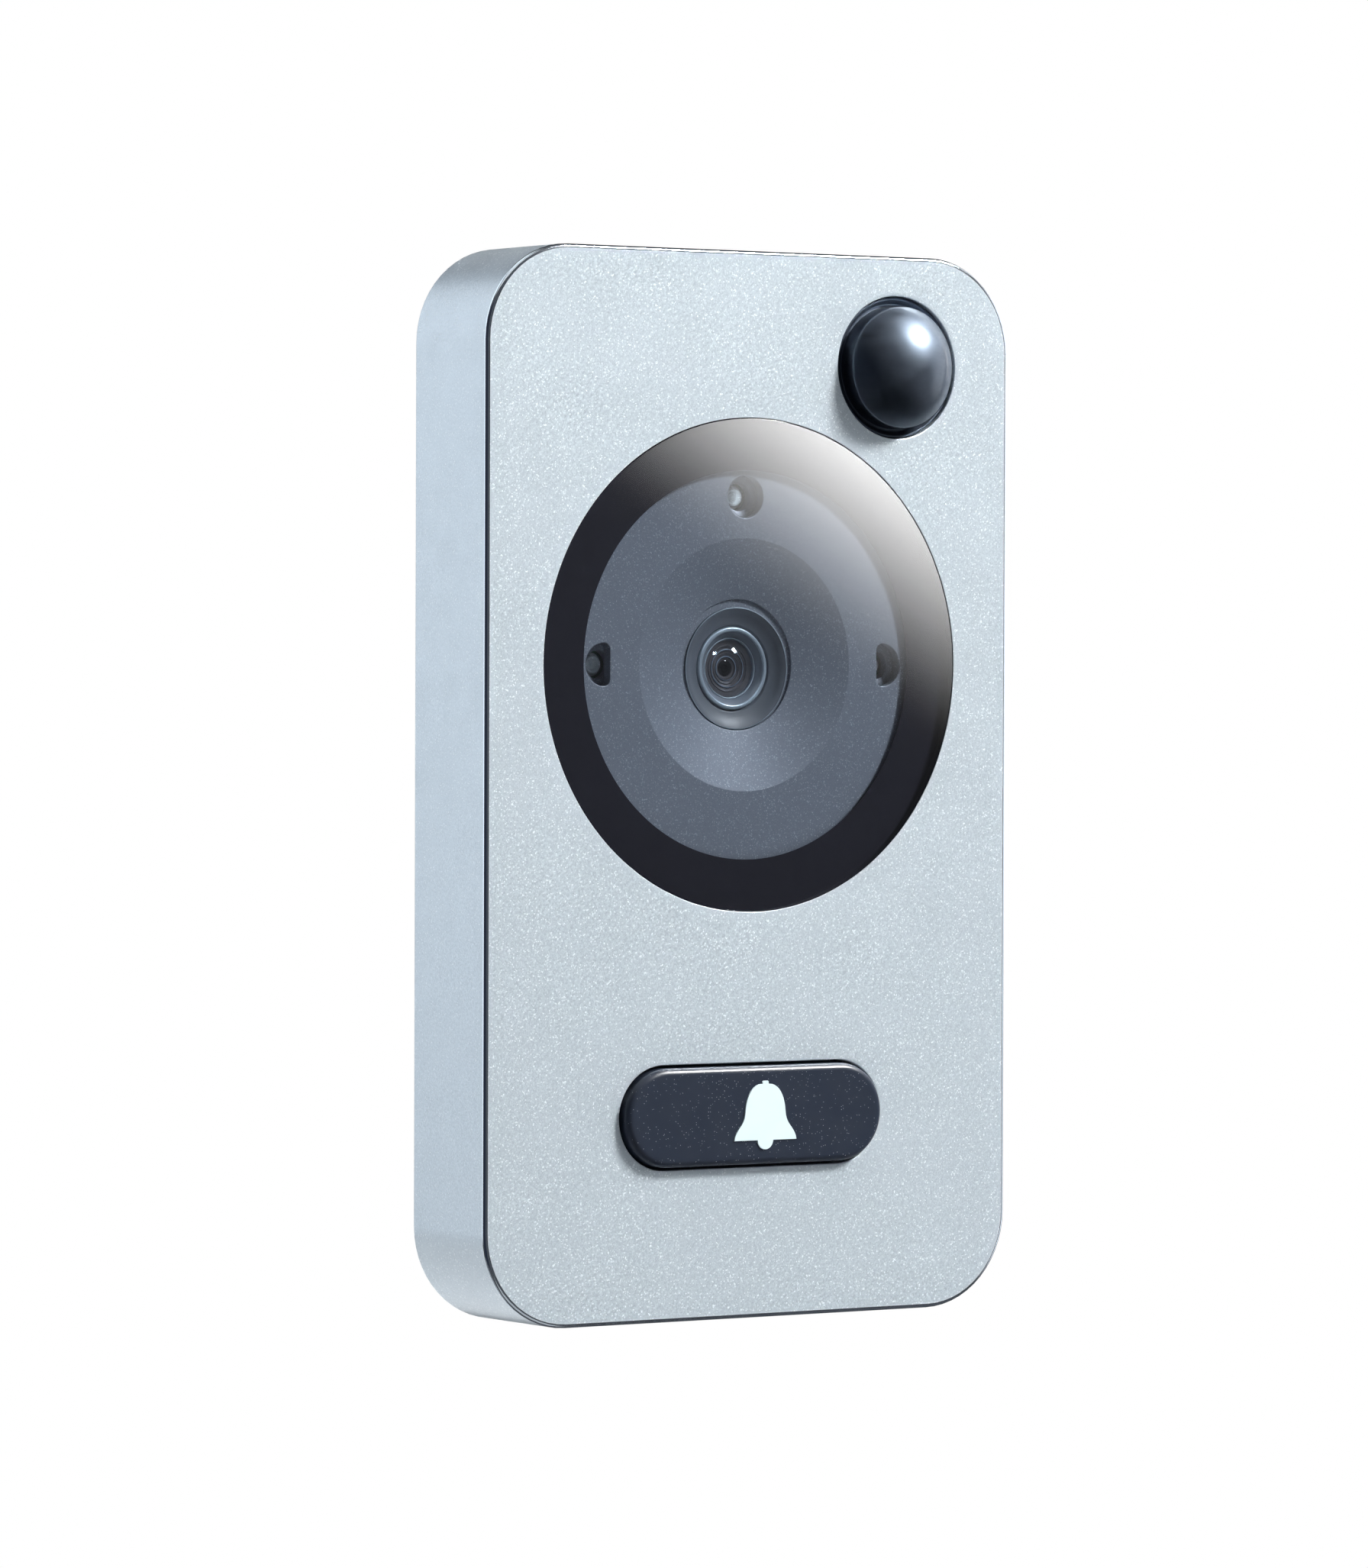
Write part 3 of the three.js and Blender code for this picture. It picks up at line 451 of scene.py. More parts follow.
LED_EPOXY = see_through("led_epoxy", (0.86, 0.89, 0.9), (1, 1, 1), 0.08, 0.05)
LED_BODY = plastic("led_body", (0.52, 0.57, 0.55), (0.66, 0.71, 0.69), 0.25, 0.5, 0.006)
LED_SILVER = metal("led_silver", (0.9, 0.92, 0.94), (0.95, 0.97, 0.98), 0.24, depth=0.001, metallic=0.35)
EDGE_METAL = metal("polished_edge", (0.7, 0.76, 0.83), (0.76, 0.82, 0.89), 0.15, depth=0.0006)
DOME_BLACK = dome_gloss()
BUTTON_BLACK = plastic("button_black", (0.0135, 0.019, 0.0325), (0.017, 0.0235, 0.0395), 0.36, 0.1, 0.003,
                       specks=0.7)
WHITE_INK = plastic("white_ink", (0.58, 0.7, 0.735), (0.63, 0.74, 0.775), 0.45, 0.1, 0.003)
REAR_PLASTIC = plastic("rear_plastic", (0.016, 0.017, 0.019), (0.024, 0.025, 0.028), 0.55, 0.22, 0.012)
CHIP_BLACK = plastic("chip_black", (0.012, 0.012, 0.013), (0.022, 0.022, 0.023), 0.5, 0.12, 0.008)
IVORY = plastic("ivory_plastic", (0.7, 0.66, 0.52), (0.78, 0.74, 0.6), 0.45, 0.25, 0.006)
SEAL_RUBBER = rubber("seal_rubber", (0.01, 0.01, 0.011), (0.018, 0.018, 0.019), 0.2, 0.01)
PAD_FOAM = rubber("pad_foam", (0.03, 0.031, 0.034), (0.058, 0.059, 0.063), 0.35, 0.06, 0.93)
STEEL = metal("screw_steel", (0.42, 0.43, 0.45), (0.62, 0.63, 0.65), 0.28)
BRASS = metal("insert_brass", (0.55, 0.38, 0.14), (0.72, 0.53, 0.22), 0.3)
CAN_METAL = metal("can_metal", (0.5, 0.51, 0.53), (0.68, 0.69, 0.71), 0.3, (1, 8, 1))
FILTER_DARK = plastic("filter_dark", (0.008, 0.009, 0.014), (0.014, 0.015, 0.022), 0.08, 0.8, 0.001)
BOARD_GREEN = board_green()

CARRIED_OVER = {
    SEAL_RUBBER: ["cover_seal", "pir_gasket"],
    REAR_PLASTIC: ["pir_retainer"],
    CAN_METAL: ["pir_can", "power_capacitor"],
    FILTER_DARK: ["pir_filter"],
    CHIP_BLACK: ["lens_holder", "image_sensor", "switch_body", "video_chip", "memory_chip", "power_coil"],
    IVORY: ["switch_plunger", "cable_socket"],
    BRASS: ["socket_contacts"],
    BOARD_GREEN: ["main_board"],
}
for shared, names in CARRIED_OVER.items():
    for name in names:
        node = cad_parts[name]
        node.data.materials.clear()
        node.data.materials.append(shared)

# ---------------- places shared by several pieces

_, _, HALF_WIDTH, HALF_HEIGHT, _, BODY_BACK = cad("front_cover")
CORNER = 10.8
EDGE = 0.45
FRONT_WALL = 2.0

WINDOW_X, WINDOW_Z, WINDOW_R, _, WINDOW_FRONT, WINDOW_BACK = cad("window_disc")
WINDOW_HOLE = WINDOW_R + 0.2
PRINT_INNER = 21.9
BEZEL_FRONT, BEZEL_BACK = cad("camera_bezel")[4:]

PIR_X, PIR_Z, PIR_FLANGE_R, _, PIR_TOP, PIR_BACK = cad("pir_dome")
PIR_R = 6.9
PIR_HOLE = 8.1

BUTTON_Z = cad("button_cap")[1]
BUTTON_TOP = cad("button_cap")[4]
BUTTON_LENGTH = 34.6
BUTTON_HEIGHT = 11.1
SLOT_GAP = 0.33

COVER_SCREWS = [cad(f"cover_screw_{i}")[:2] for i in (1, 2, 3, 4)]
BOARD_SCREWS = [cad(f"board_screw_{i}")[:2] for i in (1, 2, 3)]
INSERTS = [cad(f"door_insert_{i}")[:2] for i in (1, 2)]
OUTLET_X, OUTLET_Z = cad("cable_grommet")[:2]

body_outline = rounded_rectangle(2 * HALF_WIDTH, 2 * HALF_HEIGHT, CORNER)


# ---------------- housing


def front_cover():
    """The silver shell, with softened edges round its openings."""
    window = circle(0, WINDOW_Z, WINDOW_HOLE, 160)
    sensor = circle(PIR_X, PIR_Z, PIR_HOLE)
    slot = stadium(0, BUTTON_Z, BUTTON_LENGTH + 2 * SLOT_GAP, BUTTON_HEIGHT + 2 * SLOT_GAP, 32)
    support = 0.35
    lip, fine_lip = 0.14, 0.04
    rim, rebate, wall = 1.5, 11.5, 3
    sunk, pilot_end = FRONT_WALL - 0.3, 3
    edge = fillet([(EDGE + support, 0), (0, 0, EDGE), (0, FRONT_WALL)], 8)[1:-1]
    shape = Shape()
    shape.cap(body_outline(EDGE + support), 0, [f(-lip - support) for f in (window, sensor, slot)])
    shape.loft(body_outline, [(EDGE + support, 0), edge[0]])
    shape.finish = 1
    shape.loft(body_outline, edge)
    shape.finish = 0
    shape.loft(body_outline, [edge[-1], *fillet([
        (0, FRONT_WALL), (0, BODY_BACK, 0.25), (rim, BODY_BACK, 0.2), (rim, rebate), (wall, rebate, 0.2),
        (wall, FRONT_WALL),
    ], 6)])
    ledge, ledge_back, collar = WINDOW_HOLE - (WINDOW_R - 5), 3, -1.8
    shape.loft(window, fillet([
        (-lip - support, 0), (0, 0, fine_lip), (0, BEZEL_FRONT), (ledge, BEZEL_FRONT, 0.1),
        (ledge, ledge_back, 0.1), (collar, ledge_back, 0.2), (collar, FRONT_WALL),
    ], 4))
    for outline in (sensor, slot):
        shape.loft(outline, fillet([(-lip - support, 0), (0, 0, lip), (0, FRONT_WALL)], 4))
    shape.cap(body_outline(wall), FRONT_WALL, [window(collar), sensor(0), slot(0)])
    inside, outside, skirt = 9.9, 11.1, 5.45
    shape.turn_ring(fillet([
        (inside, sunk), (inside, skirt, 0.1), (outside, skirt, 0.2), (outside, sunk),
    ]), PIR_X, PIR_Z, 64)
    for places, radius, pilot, back in ((COVER_SCREWS, 2.8, 1.25, 12.3), (BOARD_SCREWS, 2.4, 1.1, 9.85)):
        for x, z in places:
            shape.turn(fillet([
                (0, sunk), (radius, sunk), (radius, back, 0.15), (pilot, back, 0.1), (pilot, pilot_end),
                (0, pilot_end),
            ]), x, z, 40)
    return shape.build("front_shell", SILVER, ["front_cover"], second=EDGE_METAL)


def rear_cover():
    """The plate that closes the back, with countersunk screw seats and bosses for the inserts."""
    _, _, half_width, _, _, back = cad("rear_cover")
    inset = HALF_WIDTH - half_width
    front = back - 1.6
    shape = Shape()
    seat, bore, boss, head_room = 2.5, 2.75, 3.95, 13.2
    seats = [circle(x, z, seat, 48) for x, z in COVER_SCREWS]
    bores = [circle(x, z, bore, 48) for x, z in INSERTS]
    outlet = circle(OUTLET_X, OUTLET_Z, 6.1, 72)
    lip, support = 0.2, 0.3
    soft = inset + 0.4 + support
    openings = [*seats, *bores, outlet]
    shape.cap(body_outline(soft), back, [f(-lip - support) for f in openings])
    shape.loft(body_outline, fillet([
        (soft, back), (inset, back, 0.4), (inset, front, 0.15), (inset + support, front),
    ]))
    shape.cap(body_outline(inset + support), front, [f(0) for f in openings])
    for outline in (*bores, outlet, *seats):
        shape.loft(outline, fillet([(-lip - support, back), (0, back, lip), (0, front)]))
    for x, z in COVER_SCREWS:
        shape.turn_ring([
            (1.4, head_room + 0.1), (seat, head_room + 0.1), (3.1, head_room), (3.1, 12.6), (1.4, 12.6),
        ], x, z, 48)
    for x, z in INSERTS:
        shape.turn_ring(fillet([
            (bore, 8.4), (bore, head_room), (boss, head_room), (boss, 8.4, 0.2),
        ]), x, z, 48)
    shape.build("rear_plate", REAR_PLASTIC, ["rear_cover"])


def mounting_pad():
    """Closed-cell foam with notches that leave the cover screws free."""
    x_half = cad("mounting_pad")[2]
    inset = HALF_WIDTH - x_half
    front, back = cad("mounting_pad")[4:]
    radius = CORNER - inset
    z_half = HALF_HEIGHT - inset
    notch_radius = 3.2

    def outline(extra):
        edge = x_half - extra
        corner = radius - extra
        cx, cz = x_half - radius, z_half - radius

        def side(sign, levels):
            points = []
            for x, z in levels:
                r = notch_radius + extra
                half = math.degrees(math.acos((edge - abs(x)) / r))
                start, end = (360 - half, half) if sign > 0 else (180 - half, half - 180)
                points += arc(x, z, r, start, end, 20)
            return points
        right = sorted((p for p in COVER_SCREWS if p[0] > 0), key=lambda p: p[1])
        left = sorted((p for p in COVER_SCREWS if p[0] < 0), key=lambda p: -p[1])
        return (arc(cx, -cz, corner, 270, 360, 10) + side(1, right) + arc(cx, cz, corner, 0, 90, 10)
                + arc(-cx, cz, corner, 90, 180, 10) + side(-1, left) + arc(-cx, -cz, corner, 180, 270, 10))
    holes = [circle(OUTLET_X, OUTLET_Z, 7.1, 72)] + [circle(x, z, 3.6, 48) for x, z in INSERTS]
    shape = Shape()
    soft = 0.22
    for depth in (front, back):
        shape.cap(outline(soft), depth, [f(-soft) for f in holes])
    for path_outline, sign in [(outline, 1)] + [(f, -1) for f in holes]:
        shape.loft(path_outline, fillet([
            (sign * soft, front), (0, front, 0.18), (sign * 0.05, (front + back) / 2, 0.5), (0, back, 0.18),
            (sign * soft, back),
        ], 3))
    pad = shape.build("foam_pad", PAD_FOAM, ["mounting_pad"])


def grommet():
    """The rubber sleeve round the cord's outlet."""
    _, _, lip, _, front, back = cad("cable_grommet")
    neck, bore = 5.95, 4.5
    shape = Shape()
    shape.turn_ring(fillet([
        (bore, (front + back) / 2), (bore, front, 0.3), (lip, front, 0.3), (lip, front + 0.9, 0.3),
        (neck, front + 0.9), (neck, back, 0.25), (bore, back, 0.45),
    ]), OUTLET_X, OUTLET_Z, 72)
    shape.build("rubber_grommet", SEAL_RUBBER, ["cable_grommet"])


def screw(node):
    """A pan-head screw with a cross recess and a thread, head towards the door."""
    x, z, head, _, tip, back = cad(node)
    board = node.startswith("board")
    shank = 0.95 if board else 1.1
    head_front = back - (1.2 if board else 1.1)
    depth = 0.5 * (back - head_front)
    arm, half = 0.62 * head, 0.15 * head
    quarter = [(half, half), (half, arm), (-half, arm)]
    cross = []
    for _ in range(4):
        cross += quarter
        quarter = [(-pz, px) for px, pz in quarter]
    recess = polygon([(x + px, z + pz) for px, pz in cross])
    shape = Shape()
    top = 0.74 * head
    shape.cap(circle(x, z, top, 48)(0), back, [recess(0)])
    shape.loft(recess, [(0, back), (0.04, back - depth)])
    shape.cap(recess(0.04), back - depth)
    profile = [(top, back), (0.9 * head, back - 0.12), (head, back - 0.4), (head, head_front),
               (shank, head_front)]
    pitch = 0.5
    turns = int((head_front - tip - 1.2) / pitch)
    for i in range(turns):
        start = head_front - 0.2 - i * pitch
        profile += [(shank * 0.8, start), (shank, start - 0.45 * pitch), (shank, start - 0.55 * pitch)]
    profile += [(shank * 0.8, tip + 0.8), (0.25 * shank, tip), (0, tip)]
    shape.turn(profile, x, z, 48)
    shape.build(f"{node}_turned", STEEL, [node], 30)


def door_insert(node):
    """A brass insert with a cut thread."""
    x, z, radius, _, front, back = cad(node)
    bore, pitch = 1.65, 0.7
    root = bore + 0.28
    thread = []
    for i in range(int((back - front - 0.6) / pitch)):
        start = front + 0.35 + i * pitch
        thread += [(root, start + 0.1), (bore, start + 0.3), (bore, start + 0.4), (root, start + 0.6)]
    shape = Shape()
    middle = (front + back) / 2
    groove = radius - 0.4
    shape.turn_ring([
        *thread, (bore + 0.35, back), (radius - 0.1, back), (radius, back - 0.1), (radius, middle + 0.4),
        (groove, middle + 0.4), (groove, middle - 0.4), (radius, middle - 0.4), (radius, front + 0.1),
        (radius - 0.1, front), (bore + 0.3, front),
    ], x, z, 64)
    shape.build(f"{node}_threaded", BRASS, [node], 30)


# ---------------- camera behind its window

CONE_R = 14.25
LENS_HOLE = 7.4
CONE_END = 3.15
LEDGE = 3.42
BARREL_RIM = 6.86
BEZEL_R = 22.3
BEZEL_WALL = 1.2
LED_RADIUS = 2.4
LED_FLAT = 0.8
LED_CORNER = 0.75
LENS_DROP = 0.4
LED_PLACES = {side: cad(f"ir_led_{side}")[:2] for side in ("left", "right", "top")}


def window():
    """The round window, flush with the face, and the black border that wraps its edge."""
    shape = Shape()
    radius = WINDOW_HOLE - 0.1
    profile = fillet([
        (0, WINDOW_FRONT), (radius, WINDOW_FRONT, 0.05), (radius, WINDOW_BACK, 0.08), (0, WINDOW_BACK),
    ], 4)
    shape.turn(profile[:6], WINDOW_X, WINDOW_Z, 192)
    shape.finish = 1
    shape.turn(profile[5:], WINDOW_X, WINDOW_Z, 192)
    glass = shape.build("window_glass", WINDOW_CLEAR, ["window_disc"], second=WINDOW_INSIDE)
    tape_front, tape_back = cad("window_tape")[4:]
    gap = 0.01
    outer, wrap, tape = radius + gap, WINDOW_HOLE - 0.02, PRINT_INNER + 0.6
    top, bottom = WINDOW_FRONT + 0.03, WINDOW_BACK + gap
    ring = Shape()
    ring.turn_ring(fillet([
        (PRINT_INNER, bottom), (outer, bottom), (outer, top), (wrap, top, 0.03), (wrap, tape_back, 0.04),
        (tape, tape_back, 0.04), (tape, tape_front, 0.03), (PRINT_INNER + gap, WINDOW_BACK + 0.06),
    ], 3), WINDOW_X, WINDOW_Z, 192)
    ring.build("window_border", PRINT, ["window_tape"])
    return glass


def camera_bezel():
    """A flat ring with three lamp openings round a shallow cone that ends at the lens."""
    outer = circle(0, WINDOW_Z, BEZEL_R, 160)
    cone = circle(0, WINDOW_Z, CONE_R, 160)
    rim = circle(0, WINDOW_Z - LENS_DROP, BARREL_RIM + 0.04, 120)
    openings = []
    for side, (x, z) in LED_PLACES.items():
        if side == "top":
            openings.append(circle(x, z, LED_RADIUS, 56))
        else:
            openings.append(half_round(x, z, LED_RADIUS, LED_FLAT, LED_CORNER, math.copysign(1, x)))
    shape = Shape()
    front, back = BEZEL_FRONT, BEZEL_FRONT + BEZEL_WALL
    lip, support = 0.1, 0.12
    shape.cap(outer(0.35), front, [cone(-0.5), *(f(-lip - support) for f in openings)])
    for outline in openings:
        shape.loft(outline, fillet([(-lip - support, front), (0, front, lip), (0, back)], 4))
    flange, flange_front = -4.4, 3.3
    flange_back = flange_front + BEZEL_WALL
    shape.loft(outer, fillet([
        (0.35, front), (0, front, 0.15), (0, flange_front), (flange, flange_front, 0.1),
        (flange, flange_back, 0.1), (0.8, flange_back, 0.1), (0.8, back),
    ], 4))
    slope = (CONE_R - LENS_HOLE) / (CONE_END - front)
    sleeve = LENS_HOLE + BEZEL_WALL
    hole = CONE_R - LENS_HOLE
    shape.loft(cone, fillet([(-0.5, front), (0, front, 0.4), (hole, CONE_END, 0.1), (hole, LEDGE)], 6))
    ledge_back = LEDGE + 0.4
    shape.cap(cone(hole), LEDGE, [rim(-0.1)])
    shape.loft(rim, fillet([(-0.1, LEDGE), (0, LEDGE, 0.04), (0, ledge_back)]))
    shape.cap(cone(hole), ledge_back, [rim(0)])
    shape.loft(cone, fillet([
        (hole, ledge_back), (hole, BEZEL_BACK, 0.08), (CONE_R - sleeve, BEZEL_BACK),
        (CONE_R - sleeve, back + (CONE_R - sleeve) / slope), (0, back),
    ], 6))
    shape.cap(outer(0.8), back, [cone(0), *(f(0) for f in openings)])
    shape.build("bezel_dish", BEZEL_GREY, ["camera_bezel"])


def cap_profile(radius, rise, front, steps=14):
    """(radius, depth) points of a spherical cap from its pole outwards."""
    sphere = (radius ** 2 + rise ** 2) / (2 * rise)
    half = math.asin(min(radius / sphere, 1))
    return [(sphere * math.sin(half * i / steps), front + sphere - sphere * math.cos(half * i / steps))
            for i in range(steps + 1)]


def lens():
    """The barrel's funnel, its retaining ring, two glass elements and the stepped baffle between them."""
    back = cad("lens_barrel")[5]
    spot = (0, WINDOW_Z - LENS_DROP)
    front = CONE_END + 0.1
    ring_front = CONE_END + 0.78
    seat = ring_front + 0.78
    bore = 4.75
    bead_in, bead_out = BARREL_RIM - 0.07, BARREL_RIM + 0.03
    bead_front, bead_back = front - 0.03, front + 0.1
    barrel = Shape()
    barrel.turn_ring(fillet([
        (BARREL_RIM, front, 0.08), (BARREL_RIM, LEDGE + 0.6, 0.1), (6, back - 1), (6, back, 0.1),
        (bore, back), (bore, ring_front + 0.35, 0.1), (bore + 0.2, ring_front + 0.12, 0.3),
        (5.6, ring_front - 0.02, 4), (BARREL_RIM - 0.14, front + 0.02, 0.04),
    ], 6), *spot, 120)
    barrel.finish = 1
    barrel.turn_ring(fillet([
        (bead_in, bead_front, 0.03), (bead_out, bead_front, 0.04), (bead_out, bead_back),
        (bead_in, bead_back),
    ], 4), *spot, 120)
    pieces = [barrel.build("barrel_funnel", LENS_BLACK, ["lens_barrel"], second=LENS_METAL)]

    ring_in, ring_out = 4.12, 4.7
    bezel_in, bezel_out = 3.3, 3.44
    ring = Shape()
    ring.turn_ring(fillet([
        (ring_out, seat), (ring_out, ring_front + 0.26), (ring_out - 0.1, ring_front, 0.21),
        (ring_in + 0.04, ring_front, 0.19), (ring_in, ring_front + 0.22), (ring_in, seat),
    ], 8), *spot, 120)
    ring.turn_ring(fillet([
        (bezel_out, seat + 0.3), (bezel_out, seat - 0.1, 0.04), (bezel_in, seat - 0.1, 0.05),
        (bezel_in, seat + 0.3),
    ], 4), *spot, 120)
    ring.finish = 1
    chamfer = [(4.14, ring_front + 0.14), (3.4, seat - 0.02), (3.4, seat + 0.2), (4.14, seat + 0.2)]
    ring.turn_ring(chamfer, *spot, 120)
    pieces.append(ring.build("retaining_ring", LENS_METAL, ["lens_ring"], 60, LENS_SEAT))

    element = 3.24
    glass = Shape()
    glass.turn([
        *cap_profile(element, 1.35, seat - 1.3), (element, seat + 0.2), (0, seat + 0.22),
    ], *spot, 120)
    pieces.append(glass.build("front_element", LENS_GLASS, ["front_lens"]))

    baffle = Shape()
    well, step = 3.28, 0.14
    depth = seat + 0.24
    profile = [(well, seat + 0.8), (well, depth, 0.08)]
    baffle.finish = 1
    for radius, steps in ((2.1, 1), (1.3, 3)):
        trim = depth + steps * step
        baffle.turn_ring(fillet([
            (radius, trim - 0.02, 0.03), (radius + 0.09, trim - 0.02, 0.03), (radius + 0.09, trim + step),
            (radius, trim + step),
        ], 4), *spot, 96)
    baffle.finish = 0
    for radius in (2.55, 2.1, 1.7, 1.3):
        profile += [(radius + 0.12, depth + 0.1, 0.05), (radius + 0.06, depth + 0.02, 0.03),
                    (radius, depth + 0.02, 0.03), (radius - 0.03, depth + 0.16, 0.03)]
        depth += step
    profile += [(1.2, depth + 0.8), (well, depth + 0.8)]
    baffle.turn_ring(fillet(profile, 4), *spot, 96)
    stop, pupil, tube = depth + 0.28, 0.36, 1.26
    baffle.turn_ring(fillet([
        (pupil, stop), (tube, stop - 0.25, 0.1), (tube, stop + 0.3), (pupil, stop + 0.3),
    ], 4), *spot, 64)
    baffle.turn([(0, stop + 0.5), (tube, stop + 0.5), (tube, stop + 0.7), (0, stop + 0.7)], *spot, 64)
    pieces.append(baffle.build("lens_baffle", BAFFLE_BLACK, second=LENS_METAL))

    small = 1.18
    inner = Shape()
    inner.turn([
        *cap_profile(small, 0.36, depth - 0.1, 10), (small, depth + 0.3), (0, depth + 0.2),
    ], *spot, 64)
    pieces.append(inner.build("second_element", LENS_COATED))
    return pieces


def infrared_led(side, x, z):
    """A 3 mm lamp: clear epoxy over a small reflector cup on its lead frame."""
    node = f"ir_led_{side}"
    front, tip = cad(node)[4:]
    radius, flange = 1.5, 1.9
    back = front + 5.3
    epoxy = Shape()
    epoxy.turn(fillet([
        *cap_profile(radius, radius, front, 12), (radius, back - 1), (flange, back - 1, 0.1),
        (flange, back, 0.1), (0, back),
    ]), x, z, 48)
    dome = epoxy.build(f"{node}_dome", LED_EPOXY, [node])

    cup = Shape()
    floor = front + 0.95
    hollow, rim = 0.55, 1.08
    cup.turn_ring(fillet([
        (hollow, floor), (0.8, floor - 0.38, 0.04), (0.98, floor - 0.4, 0.06), (rim, floor, 0.05),
        (rim, floor + 0.4), (hollow, floor + 0.4),
    ], 4), x, z, 48)
    cup.turn([(0, floor + 0.02), (0.6, floor + 0.02), (0.6, floor + 0.3), (0, floor + 0.3)], x, z, 32)
    chip = square(x, z, 0.16)
    cup.cap(chip(0.02), floor - 0.12)
    cup.loft(chip, [(0.02, floor - 0.12), (0, floor - 0.1), (0, floor + 0.02)])
    cup.cap(chip(0), floor + 0.02)
    bond = []
    for t in (k / 12 for k in range(13)):
        arch = 0.42 * math.sin(math.pi * min(t * 1.15, 1))
        bond.append((x + 0.1 - 0.95 * t, floor - 0.12 - arch, z + 0.1 + 0.75 * t))
    cup.tube(bond, 0.05, 8)
    for sign, lead_front in ((-1, floor + 0.45), (1, floor - 0.15)):
        post = square(x, z + sign, 0.25)
        cup.loft(post, [(0.06, lead_front), (0, lead_front + 0.06), (0, tip)])
        cup.cap(post(0.06), lead_front)
        cup.cap(post(0), tip)
    lead_frame = cup.build(f"{node}_frame", LED_SILVER)

    collar = Shape()
    pocket_front, pocket_back = front - 0.35, front + 0.9
    fit, wide = 1.56, 2.7
    collar.turn_ring(fillet([
        (fit, pocket_front + 0.5), (fit, pocket_front + 0.12, 0.1), (2.1, pocket_front, 0.2),
        (wide, pocket_front), (wide, pocket_back, 0.1), (fit, pocket_back),
    ], 4), x, z, 48)
    collar.build(f"{node}_collar", BEZEL_GREY)

    core = Shape()
    width, core_back = 1.36, back - 0.3
    core.turn([*cap_profile(width, 0.25, floor + 0.05, 8), (width, core_back), (0, core_back)], x, z, 40)
    return [dome, lead_frame, core.build(f"{node}_core", LED_BODY)]


# ---------------- motion sensor


def pir_dome():
    """A glossy dome that stands on a round-shouldered collar in the face's opening."""
    rise, wall, steps = 3.8, 1, 28
    hollow = PIR_R - wall
    inner = (PIR_R ** 2 + rise ** 2) / (2 * rise) - wall
    inner_rise = inner - math.sqrt(inner ** 2 - hollow ** 2)
    outside = cap_profile(PIR_R, rise, PIR_TOP, steps)
    inside = cap_profile(hollow, inner_rise, PIR_TOP + wall, steps)[::-1]
    flange_front = PIR_BACK - 1
    collar = PIR_HOLE - 0.1
    shoulder, brim = 1.15, 0.4
    shape = Shape()
    shape.turn([*outside, *fillet([
        (PIR_R, PIR_TOP + rise + 0.01), (PIR_R, shoulder, 0.1), (7.25, shoulder, 0.25), (7.75, brim, 0.16),
        (collar, brim, 0.14), (collar, flange_front), (PIR_FLANGE_R, flange_front, 0.1),
        (PIR_FLANGE_R, PIR_BACK, 0.1), (hollow, PIR_BACK), (hollow, PIR_TOP + wall + rise),
    ], 5), *inside[1:]], PIR_X, PIR_Z, 128)
    return shape.build("sensor_dome", DOME_BLACK, ["pir_dome"], 50)


# ---------------- call button

PIN_X = abs(cad("button_spring_left")[0])


def button():
    """The call button's cap with its flange, stem and guide pins."""
    outline = stadium(0, BUTTON_Z, BUTTON_LENGTH, BUTTON_HEIGHT, 32)
    top, edge = BUTTON_TOP, 0.8
    flange, flange_front, flange_back = -SLOT_GAP - 1.2, 2.3, 3.3
    wall, ceiling = 1.2, 0.3
    shape = Shape()
    shape.cap(outline(edge + 0.5), top)
    shape.loft(outline, fillet([
        (edge + 0.5, top), (0, top, edge), (0, flange_front, 0.1), (flange, flange_front, 0.15),
        (flange, flange_back, 0.15), (wall, flange_back, 0.1), (wall, ceiling, 0.3), (wall + 0.6, ceiling),
    ], 8))
    shape.cap(outline(wall + 0.6), ceiling)
    stem, stem_tip = 1.5, cad("switch_plunger")[4] - 0.05
    shape.turn(fillet([(0, 0), (stem, 0), (stem, stem_tip, 0.2), (0, stem_tip)]), 0, BUTTON_Z, 40)
    foot, pin, pin_tip = 2.5, 1.2, cad("button_cap")[5]
    for sign in (-1, 1):
        shape.turn(fillet([
            (0, 0), (foot, 0), (foot, flange_back, 0.1), (pin, flange_back, 0.1), (pin, pin_tip, 0.3),
            (0, pin_tip),
        ]), sign * PIN_X, BUTTON_Z, 40)
    return shape.build("button_shell", BUTTON_BLACK, ["button_cap"], body="button")


def bezier(points, steps=10):
    """Points on a cubic curve, without its last."""
    a, b, c, d = (Vector(p) for p in points)
    made = []
    for i in range(steps):
        t = i / steps
        u = 1 - t
        made.append(tuple(u ** 3 * a + 3 * u * u * t * b + 3 * u * t * t * c + t ** 3 * d))
    return made


